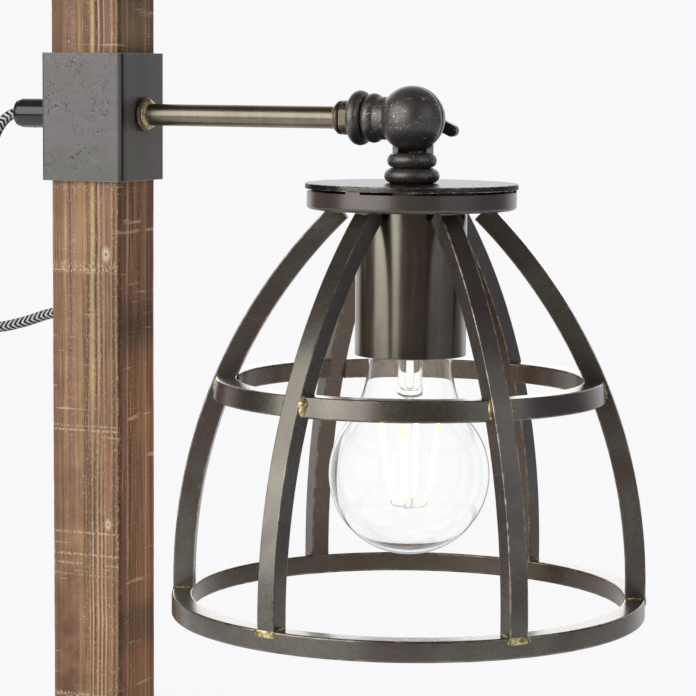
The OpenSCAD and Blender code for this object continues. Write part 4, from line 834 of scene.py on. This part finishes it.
def sawn_post():
    """Post with rough-sawn sides: grooves along the grain, and edges worn by handling."""
    low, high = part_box("post")
    half = (high.x - low.x) / 2
    flat = half - POST_EASE
    outline = []
    for quarter in range(4):
        turn = Matrix.Rotation(pi / 2 * quarter, 3, "Z")
        for across in spaced(-flat, flat, POST_COLUMNS):
            outline.append((turn @ Vector((across, -half, 0)), turn @ Vector((0, -1, 0)), 0))
        for a in map(radians, POST_CORNER):
            out = Vector((sin(a), -cos(a), 0))
            outline.append((turn @ (Vector((flat, -flat, 0)) + POST_EASE * out), turn @ out, 1))
    count = ceil((high.z - low.z) / POST_ROW)
    levels = [(z, 0) for z in spaced(low.z, high.z, count)[:-1]]
    levels += [(high.z - below * MM, inwards) for below, inwards in POST_TOP]
    bm = bmesh.new()
    rows = []
    for z, inwards in levels:
        row = []
        for point, out, corner in outline:
            p = Vector((point.x, point.y, z))
            groove = noise.fractal(Vector((p.x * 620, p.y * 620, z * 9)), 0.9, 2.0, 3)
            dip = noise.noise(Vector((p.x * 90, p.y * 90, z * 45)))
            depth = GROOVE_DEEP * max(0, 0.3 + groove) + DIP_DEEP * max(0, dip)
            if corner:
                chip = noise.fractal(Vector((z * 90, out.x * 9, out.y * 9)), 0.8, 2.1, 3)
                depth += CHIP_DEEP * max(0, chip)
            row.append(bm.verts.new(p - out * MM * (depth + inwards)))
        rows.append(row)
    swept(bm, rows, flags=[corner for _, _, corner in outline])
    piece("post_sawn", bm, "post_wood", "stand", ["post"])


# Cage: bars swept with rounded edges

BAR, RIB_WIDTH = 7.6 * MM, 7.2 * MM
RIB_COUNT = 6
RIB_ANGLES = [radians(19) + tau * k / RIB_COUNT for k in range(RIB_COUNT)]
# A rib follows an arc, whose centre lies beyond the shade's axis, between two angles
ARC_R, ARC_Z, RIB_ARC = -110.1 * MM, ARM_Z - 173 * MM, 198.5 * MM
RIB_FROM, RIB_TO, RIB_STEPS = -1.15, 45.6, 72
MIDDLE_R, MIDDLE_LEAN, MIDDLE_STEPS = 73.17 * MM, 1.2 * MM, 36
RING_STEPS = 240
RIB_CORNER, RING_CORNER, CORNER_STEPS = 0.55 * MM, 0.75 * MM, 4
UNEVEN, UNEVEN_SCALE = 0.03 * MM, 60
PAN_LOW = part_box("shade_pan")[0].z
RING_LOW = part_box("bottom_ring")[0].z
RING_R = (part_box("bottom_ring")[1].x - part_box("bottom_ring")[0].x) / 2
# Ribs whose edges are more worn than the others', and by how much
MOST_WORN = {5: 2.6}
UP = Vector((0, 0, 1))


def square_section(high, wide, radius):
    h, w = high / 2, wide / 2
    return rounded([(-h, -w), (h, -w), (h, w), (-h, w)], radius, CORNER_STEPS)


def bar(bm, section, places, closed=False, worn=1.0):
    """Sweeps a flagged outline (a, b) through places (point, a direction, b direction)."""
    rows = [[bm.verts.new(p + a * s[0] + b * s[1]) for s in section] for p, a, b in places]
    swept(bm, rows, closed, [s[2] * worn for s in section])


def rib_piece(k):
    """Curved rib from the bottom ring to the pan, where its square-cut end is trimmed flat."""
    out, along = directions(RIB_ANGLES[k])
    places = []
    for t in map(radians, spaced(RIB_FROM, RIB_TO, RIB_STEPS)):
        outwards = out * cos(t) + UP * sin(t)
        centre = Vector((SHADE_X, 0, ARC_Z)) + out * ARC_R + outwards * (RIB_ARC - BAR / 2)
        places.append((centre, outwards, along))
    bm = bmesh.new()
    bar(bm, square_section(BAR, RIB_WIDTH, RIB_CORNER), places, worn=MOST_WORN.get(k, 1.0))
    shaken(bm, UNEVEN, UNEVEN_SCALE, k * 7.0)
    cut = bmesh.ops.bisect_plane(bm, geom=bm.verts[:] + bm.edges[:] + bm.faces[:], dist=1e-7,
                                 plane_co=(0, 0, PAN_LOW), plane_no=(0, 0, 1), clear_outer=True)
    rim = [e for e in cut["geom_cut"] if isinstance(e, bmesh.types.BMEdge)]
    bmesh.ops.contextual_create(bm, geom=rim)
    look_of("rib_%d" % (k + 1), bm)


def bottom_ring_piece():
    bm = bmesh.new()
    places = [(around(a, RING_R - BAR / 2, RING_LOW + BAR / 2), directions(a)[0], UP)
              for a in circle(RING_STEPS)]
    bar(bm, square_section(BAR, BAR, RING_CORNER), places, closed=True)
    shaken(bm, UNEVEN, UNEVEN_SCALE, 3.0)
    look_of("bottom_ring", bm)


def middle_ring_piece():
    """Six bars between the ribs, leaning inwards at the top."""
    low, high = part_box("middle_ring")
    top = high.z - low.z
    section = rounded([(-BAR, 0), (0, 0), (-MIDDLE_LEAN, top), (-BAR - MIDDLE_LEAN, top)],
                      RING_CORNER, CORNER_STEPS)
    gap = asin(RIB_WIDTH / 2 / (MIDDLE_R - BAR / 2)) - 0.002
    bm = bmesh.new()
    for rib in RIB_ANGLES:
        angles = spaced(rib + gap, rib + tau / RIB_COUNT - gap, MIDDLE_STEPS)
        bar(bm, section, [(around(a, MIDDLE_R, low.z), directions(a)[0], UP) for a in angles])
    shaken(bm, UNEVEN, UNEVEN_SCALE, 5.0)
    look_of("middle_ring", bm)


# Brazing: uneven beads of filler

BEAD_SIDES, PATCH_SIDES = 12, 48
# Share of a patch's outline and of its thickness, from its rim inwards
PATCH_RINGS = ((1.0, -0.35), (1.0, 0.0), (0.93, 0.45), (0.8, 0.75), (0.6, 0.9), (0.3, 1.0))
FOOT_WIDE, FOOT_HIGH, FOOT_THICK, FOOT_BEAD = 8.9 * MM, 3.0 * MM, 0.42 * MM, 0.45 * MM
MIDDLE_BEADS = {-1: 1.2 * MM, 1: 1.5 * MM}
LARGEST_BEAD, LARGEST_AT = 2.3 * MM, (4, 1)
SEAT_BEAD, SEAT_HALF = 0.85 * MM, 3.4 * MM
FLANGE_BEAD, COLLAR_BEAD = 1.45 * MM, 0.75 * MM


def bead(bm, line, radius, seed, closed=False):
    """Uneven bead of filler along a line, which runs out at both ends or closes on itself."""
    last = len(line) - 1
    rings = []
    for i, (point, side, up) in enumerate(carried(line, closed=closed)):
        end = 1.0 if closed else sin(pi * min(max(i / last, 0.03), 0.97)) ** 0.45
        size = radius * end * (1 + 0.3 * noise.noise(point * 450 + Vector((seed, 0, 0))))
        ring = []
        for a in circle(BEAD_SIDES):
            out = cos(a) * side + sin(a) * up
            lump = noise.noise((point + out * radius) * 900 + Vector((0, seed, 0)))
            ring.append(bm.verts.new(point + out * size * (1 + 0.18 * lump)))
        rings.append(ring)
    swept(bm, rings, closed)


def patch(bm, centre, out, along, seed):
    """Flat run of filler over a rib's foot, thickest in its middle, with an uneven outline."""
    up = out.cross(along)
    rings = []
    for share, lift in PATCH_RINGS:
        ring = []
        for a in circle(PATCH_SIDES):
            c, d = cos(a), sin(a)
            reach = share * (1 + 0.16 * noise.noise(Vector((2.2 * c, 2.2 * d, seed))))
            x = copysign(abs(c) ** 0.55, c) * FOOT_WIDE / 2 * reach
            y = copysign(abs(d) ** 0.7, d) * FOOT_HIGH / 2 * reach
            p = centre + along * x + up * y
            rise = lift + 0.3 * max(lift, 0) * noise.noise(p * 1100)
            ring.append(bm.verts.new(p + out * FOOT_THICK * rise))
        rings.append(ring)
    swept(bm, rings)


def braze_pieces():
    feet, middle, top, arm = (bmesh.new() for _ in range(4))
    ring_top = RING_LOW + BAR
    mid_low, mid_high = (v.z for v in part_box("middle_ring"))
    arc = asin((PAN_LOW - ARC_Z) / RIB_ARC)
    for k, turn in enumerate(RIB_ANGLES):
        out, along = directions(turn)
        patch(feet, around(turn, RING_R - 0.05 * MM, ring_top - 1.2 * MM), out, along, k * 3.1)
        for s in (-1, 1):
            side = along * s * (RIB_WIDTH / 2 + 0.05 * MM)
            line = [around(turn, RING_R - inwards * MM, ring_top + 0.1 * MM) + side
                    for inwards in spaced(6.6, 1.2, 8)]
            bead(feet, line, FOOT_BEAD, k + s * 4.3)
            side = along * s * (RIB_WIDTH / 2 + 0.1 * MM)
            a = around(turn, 72.5 * MM, mid_low + 0.2 * MM) + side
            b = around(turn, 71.3 * MM, mid_high + 0.1 * MM) + side
            size = LARGEST_BEAD if (k, s) == LARGEST_AT else MIDDLE_BEADS[s]
            bead(middle, spaced(a, b, 12), size, k + s * 9.7)
        seat = around(turn, ARC_R + RIB_ARC * cos(arc) + 0.2 * MM, PAN_LOW - 0.15 * MM)
        line = [seat + along * x for x in spaced(-SEAT_HALF, SEAT_HALF, 10)]
        bead(top, line, SEAT_BEAD, k * 5.3)
    ring_r = (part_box("arm_rod")[1].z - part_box("arm_rod")[0].z) / 2 + 0.25 * MM
    for x, size in ((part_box("arm_flange")[1].x, FLANGE_BEAD),
                    (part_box("arm_collar")[0].x, COLLAR_BEAD)):
        ring = [Vector((x, ring_r * cos(a), ARM_Z + ring_r * sin(a))) for a in circle(48)]
        bead(arm, ring, size, x * 500, closed=True)
    for node, bm in (("braze_bottom", feet), ("braze_middle", middle), ("braze_top", top),
                     ("arm_braze", arm)):
        look_of(node, bm)


# Bulb: blown glass, drawn stem, and four coated sticks

BULB_R, NECK_R, MOUTH_R = 30 * MM, 15.5 * MM, 13.4 * MM
BULB_Z = ARM_Z - 131.95 * MM
CAP_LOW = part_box("bulb_cap")[0].z
NECK_Z = CAP_LOW - 4 * MM
WALL, WALL_SINK = 0.42 * MM, 0.15 * MM
GLASS_SEGMENTS, STEM_SEGMENTS, ROD_SEGMENTS = 144, 40, 24
BODY_STEPS, SHOULDER_STEPS = 48, 24


def bulb_profile(inward, sink):
    """Outline of the bulb from its bottom up, moved inwards and with its bottom raised."""
    rise = NECK_Z - BULB_Z
    shoulder = (rise ** 2 - (BULB_R - NECK_R) * (BULB_R + NECK_R)) / (2 * (BULB_R - NECK_R))
    bend_x = NECK_R + shoulder
    touch = atan2(rise, bend_x)
    body, bend = BULB_R - inward, shoulder + inward
    points = []
    for a in spaced(-pi / 2, touch, BODY_STEPS):
        lift = sink * max(0, -sin(a)) ** 6
        points.append((body * cos(a), BULB_Z + body * sin(a) + lift))
    for a in spaced(pi + touch, pi, SHOULDER_STEPS)[1:]:
        points.append((bend_x + bend * cos(a), NECK_Z + bend * sin(a)))
    return points + [(NECK_R - inward, CAP_LOW - 2.5 * MM),
                     (NECK_R - 1 * MM - inward, CAP_LOW - 0.8 * MM), (MOUTH_R - inward, CAP_LOW)]


def turned_glass(node, bm):
    """Finishes a piece of glass, which throws no shadow."""
    bmesh.ops.remove_doubles(bm, verts=bm.verts, dist=1e-7)
    look_of(node, bm, keep_normals=True).visible_shadow = False


def glass_piece():
    bm = bmesh.new()
    lathe(bm, bulb_profile(0, 0) + bulb_profile(WALL, WALL_SINK)[::-1], GLASS_SEGMENTS)
    turned_glass("bulb_glass", bm)


# The stem's surfaces as radius and height over the cap's lower edge, in millimetres. The end of
# the pump tube has its height over the stem's lowest point.
STEM_OUTSIDE = ((12.3, -0.4), (12.3, -1.1), (8, -1.8), (5, -3.5), (4.6, -6), (4.6, -14.5),
                (4.9, -17), (4.7, -18.4), (3.4, -19.4), (1, -20))
PUMP_TUBE = ((1, 1), (1.3, 0.5), (0.9, 0), (0, 0))
STEM_INSIDE = ((7.8, -1.1), (4.5, -3.3), (4, -6), (4, -14.5), (3.2, -16.6), (0, -17))
STEM_ROD = ((0, -16.4), (1, -16.3), (1.5, -15.2), (1.5, -0.5), (0, -0.5))
PINCH_Z, PINCH_HALF = CAP_LOW - 17.6 * MM, 4 * MM


def stem_piece():
    """Flared glass tube with its pinched end, the pump tube below it and the solid rod inside."""
    def placed(points, base):
        return [(r * MM, base + z * MM) for r, z in points]

    bm = bmesh.new()
    outside = placed(STEM_OUTSIDE, CAP_LOW) + placed(PUMP_TUBE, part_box("bulb_stem")[0].z)
    lathe(bm, outside[::-1] + placed(STEM_INSIDE, CAP_LOW), STEM_SEGMENTS)
    for v in bm.verts:
        squash = max(0, 1 - abs(v.co.z - PINCH_Z) / PINCH_HALF)
        v.co.y *= 1 - 0.25 * squash
        v.co.z += 0.5 * MM * squash * noise.noise(v.co * 700)
    lathe(bm, placed(STEM_ROD, CAP_LOW), ROD_SEGMENTS)
    turned_glass("bulb_stem", bm)


STICK_COUNT, STICK_TURN, STICK_SIDES = 4, radians(10), 16
STICK_TOP, STICK_LOW, HUB_LOW = ARM_Z - 112 * MM, ARM_Z - 142 * MM, ARM_Z - 145 * MM
STICK_TOP_R, STICK_LOW_R = 11.2 * MM, 6.8 * MM
STICK_RADII = [r * MM for r in [0.35, 0.75, 1.0] + [1.05] * 14 + [1.0, 0.75, 0.35]]
LEAD_R, LEAD_SIDES, LEAD_STEP = 0.17 * MM, 8, 0.8 * MM


def filament_pieces():
    """Four sticks in a cone, with end tabs, and the wires that carry them."""
    sticks, wires = bmesh.new(), bmesh.new()
    hub = Vector((SHADE_X, 0, HUB_LOW))
    for k in range(STICK_COUNT):
        a = STICK_TURN + tau * k / STICK_COUNT
        top, low = around(a, STICK_TOP_R, STICK_TOP), around(a, STICK_LOW_R, STICK_LOW)
        down = (low - top).normalized()
        line = spaced(top, low, len(STICK_RADII) - 1)
        rings = tube_rings(sticks, line, STICK_RADII, STICK_SIDES)
        skin(sticks, rings[3:-2])
        for end in (rings[:4], rings[-3:]):
            skin(sticks, end, flags=[1] * STICK_SIDES)
        close_ends(sticks, rings)
        foot = low + down * 1.6 * MM
        lead = [low - down * 0.4 * MM, foot, foot.lerp(hub, 0.25) - UP * 0.4 * MM,
                foot.lerp(hub, 0.6), hub]
        root = Vector((SHADE_X + (1.5 if k % 2 else -1.5) * MM, 0, CAP_LOW - 19 * MM))
        upper = [top + down * 0.4 * MM, top - down * 1.4 * MM, top.lerp(root, 0.4) + UP * 2.5 * MM,
                 top.lerp(root, 0.8) + UP * 1 * MM, root]
        for points in (lead, upper):
            smooth = route_line([p / MM for p in points], LEAD_STEP)
            swept(wires, tube_rings(wires, smooth, LEAD_R, LEAD_SIDES, Vector((0.3, 0.2, 1))))
    look_of("bulb_filaments", sticks)
    piece("bulb_leads", wires, "cap_metal", "shade")


# Light and floor

# Place, aimed at, width, height, power and colour
AREA_LIGHTS = {
    "key": ((-1.15, -2.25, 1.1), (0.05, 0, 0.25), 3.1, 2.3, 53, (1, 1, 1)),
    "fill": ((1.9, -0.5, 0.9), (0.05, 0, 0.25), 1.4, 1.4, 3.2, (0.90, 0.94, 1.0)),
    "back": ((-0.85, 1.9, 0.75), (0.08, 0, 0.25), 1.9, 1.0, 9, (1, 1, 1)),
}
GLOW_Z, GLOW_R, GLOW_POWER, GLOW_COLOUR = ARM_Z - 126 * MM, 10 * MM, 0.16, (1.0, 0.70, 0.45)
WHITE, AMBIENT, FLOOR = (0.945, 0.94, 0.955), (0.18, 0.18, 0.19), (0.80, 0.795, 0.80)
ROOM_FRONT, ROOM_RIGHT = (0.13, 0.10, 0.08), (0.21, 0.21, 0.245)
TO_RIGHT, TO_BACK = (0.91, 0.41, 0), (-0.41, 0.91, 0)
FLOOR_HALF, FLOOR_CELLS = 6, 8
# Distances over which the floor turns into the surroundings, as seen and as mirrored in metal
SEEN_FADE, MIRRORED_FADE = (0.34, 0.6), (0.75, 1.5)


def light(name, kind, at, power, colour):
    data = bpy.data.lights.new(name, kind)
    data.energy, data.color = power, colour
    obj = linked(name, data)
    obj.location = at
    obj.visible_camera = obj.visible_transmission = False
    return obj


def area_light(name, at, towards, width, height, power, colour):
    obj = light(name, "AREA", at, power, colour)
    obj.data.shape = "RECTANGLE"
    obj.data.size, obj.data.size_y = width, height
    obj.rotation_euler = (Vector(towards) - Vector(at)).to_track_quat("-Z", "Y").to_euler()
    return obj


def room_colour(n, direction):
    """What metal and glass show of a direction: white behind the lamp, dimmer on the near side."""
    def facing(axis, low, high):
        return n.span(n.vector("DOT_PRODUCT", direction, axis), low, high)

    near = n.mix(facing(TO_RIGHT, 0.5, 0.75), ROOM_FRONT, ROOM_RIGHT)
    return n.mix(facing(TO_BACK, 0.45, 0.75), near, WHITE)


def seen_directly(n, rays):
    """1 for rays from the camera, also through glass."""
    return n.larger(rays["Is Camera Ray"], rays["Is Transmission Ray"])


def studio():
    """White surroundings behind the lamp, a dimmer room on the camera's side, and soft lamps."""
    world = bpy.data.worlds.new("studio")
    scene.world = world
    world.use_nodes = True
    n = Nodes(world.node_tree, "Generated")
    rays = n.put("LightPath").node.outputs
    colour = n.mix(rays["Is Glossy Ray"], AMBIENT, room_colour(n, n.place))
    colour = n.mix(seen_directly(n, rays), colour, WHITE)
    n.put("OutputWorld", {"Surface": n.put("Background", {"Color": colour})})
    lights = {name: area_light(name, *values) for name, values in AREA_LIGHTS.items()}
    lights["back"].visible_diffuse = False
    glow = light("glow", "POINT", (SHADE_X, 0, GLOW_Z), GLOW_POWER, GLOW_COLOUR)
    glow.data.shadow_soft_size = GLOW_R
    glow.visible_glossy = False


def floor():
    """Pale floor that keeps the shadow near the lamp and turns into the white surroundings."""
    bm = bmesh.new()
    bmesh.ops.create_grid(bm, x_segments=FLOOR_CELLS, y_segments=FLOOR_CELLS, size=FLOOR_HALF)
    f = Finish("floor")
    rays = f.put("LightPath").node.outputs
    seen, mirrored = seen_directly(f, rays), rays["Is Glossy Ray"]
    shown = f.times(f.larger(seen, mirrored), 0.5)
    diffuse = f.put("BsdfDiffuse", {"Color": (*FLOOR, 1)})
    paper = f.put("Emission", {"Color": (*WHITE, 1), "Strength": shown})
    room = room_colour(f, f.vector("NORMALIZE", f.place))
    away = f.put("Emission", {"Color": f.mix(seen, room, WHITE)})
    distance = f.vector("LENGTH", f.place)
    far = f.larger(f.times(f.span(distance, *SEEN_FADE), seen),
                   f.times(f.span(distance, *MIRRORED_FADE), mirrored))
    near = f.put("AddShader", {0: diffuse, 1: paper})
    f.put("OutputMaterial", {"Surface": f.put("MixShader", {0: far, 1: near, 2: away})})
    linked("floor", mesh_of("floor", bm, f.material))


# How far the edges of each CAD node's own piece are rounded, in millimetres, and how deep the
# marks of hand filing are
EDGE_WIDTHS = {
    "base_board": 0.9, "sleeve": 0.8, "foot_socket": 0.5, "foot_screws": 0.15,
    "ballast_plate": 0.4, "arm_rod": 0.15, "arm_flange": 0.2, "arm_collar": 0.2,
    "lock_nut": 0.25, "gland_shell": 0.3, "cord_clips": 0.15, "clip_screws": 0.12,
    "knuckle_arm_half": 0.3, "knuckle_shade_half": 0.3, "clamp_washer": 0.15,
    "wing_screw": 0.6, "switch_lower": 0.5, "switch_upper": 0.5, "switch_boots": 0.25,
    "switch_rocker": 0.35, "plug_body": 0.8, "cover_plate": 0.3, "shade_pan": 0.25,
    "socket_cup": 0.35, "holder_body": 0.3, "bulb_cap": 0.2,
}
FILED = {"knuckle_arm_half": 0.07, "knuckle_shade_half": 0.07}

for node, obj in nodes.items():
    obj.data.materials.clear()
    obj.data.materials.append(FINISHES[SLOT_OF[node]])

sawn_post()
for node, width in EDGE_WIDTHS.items():
    eased(node, width, FILED.get(node, 0))
for k in range(RIB_COUNT):
    rib_piece(k)
bottom_ring_piece()
middle_ring_piece()
braze_pieces()
glass_piece()
stem_piece()
filament_pieces()

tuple(upper_line[0])
line_length(upper_line)
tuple(lower_line[0])
line_length(lower_line)
studio()
floor()
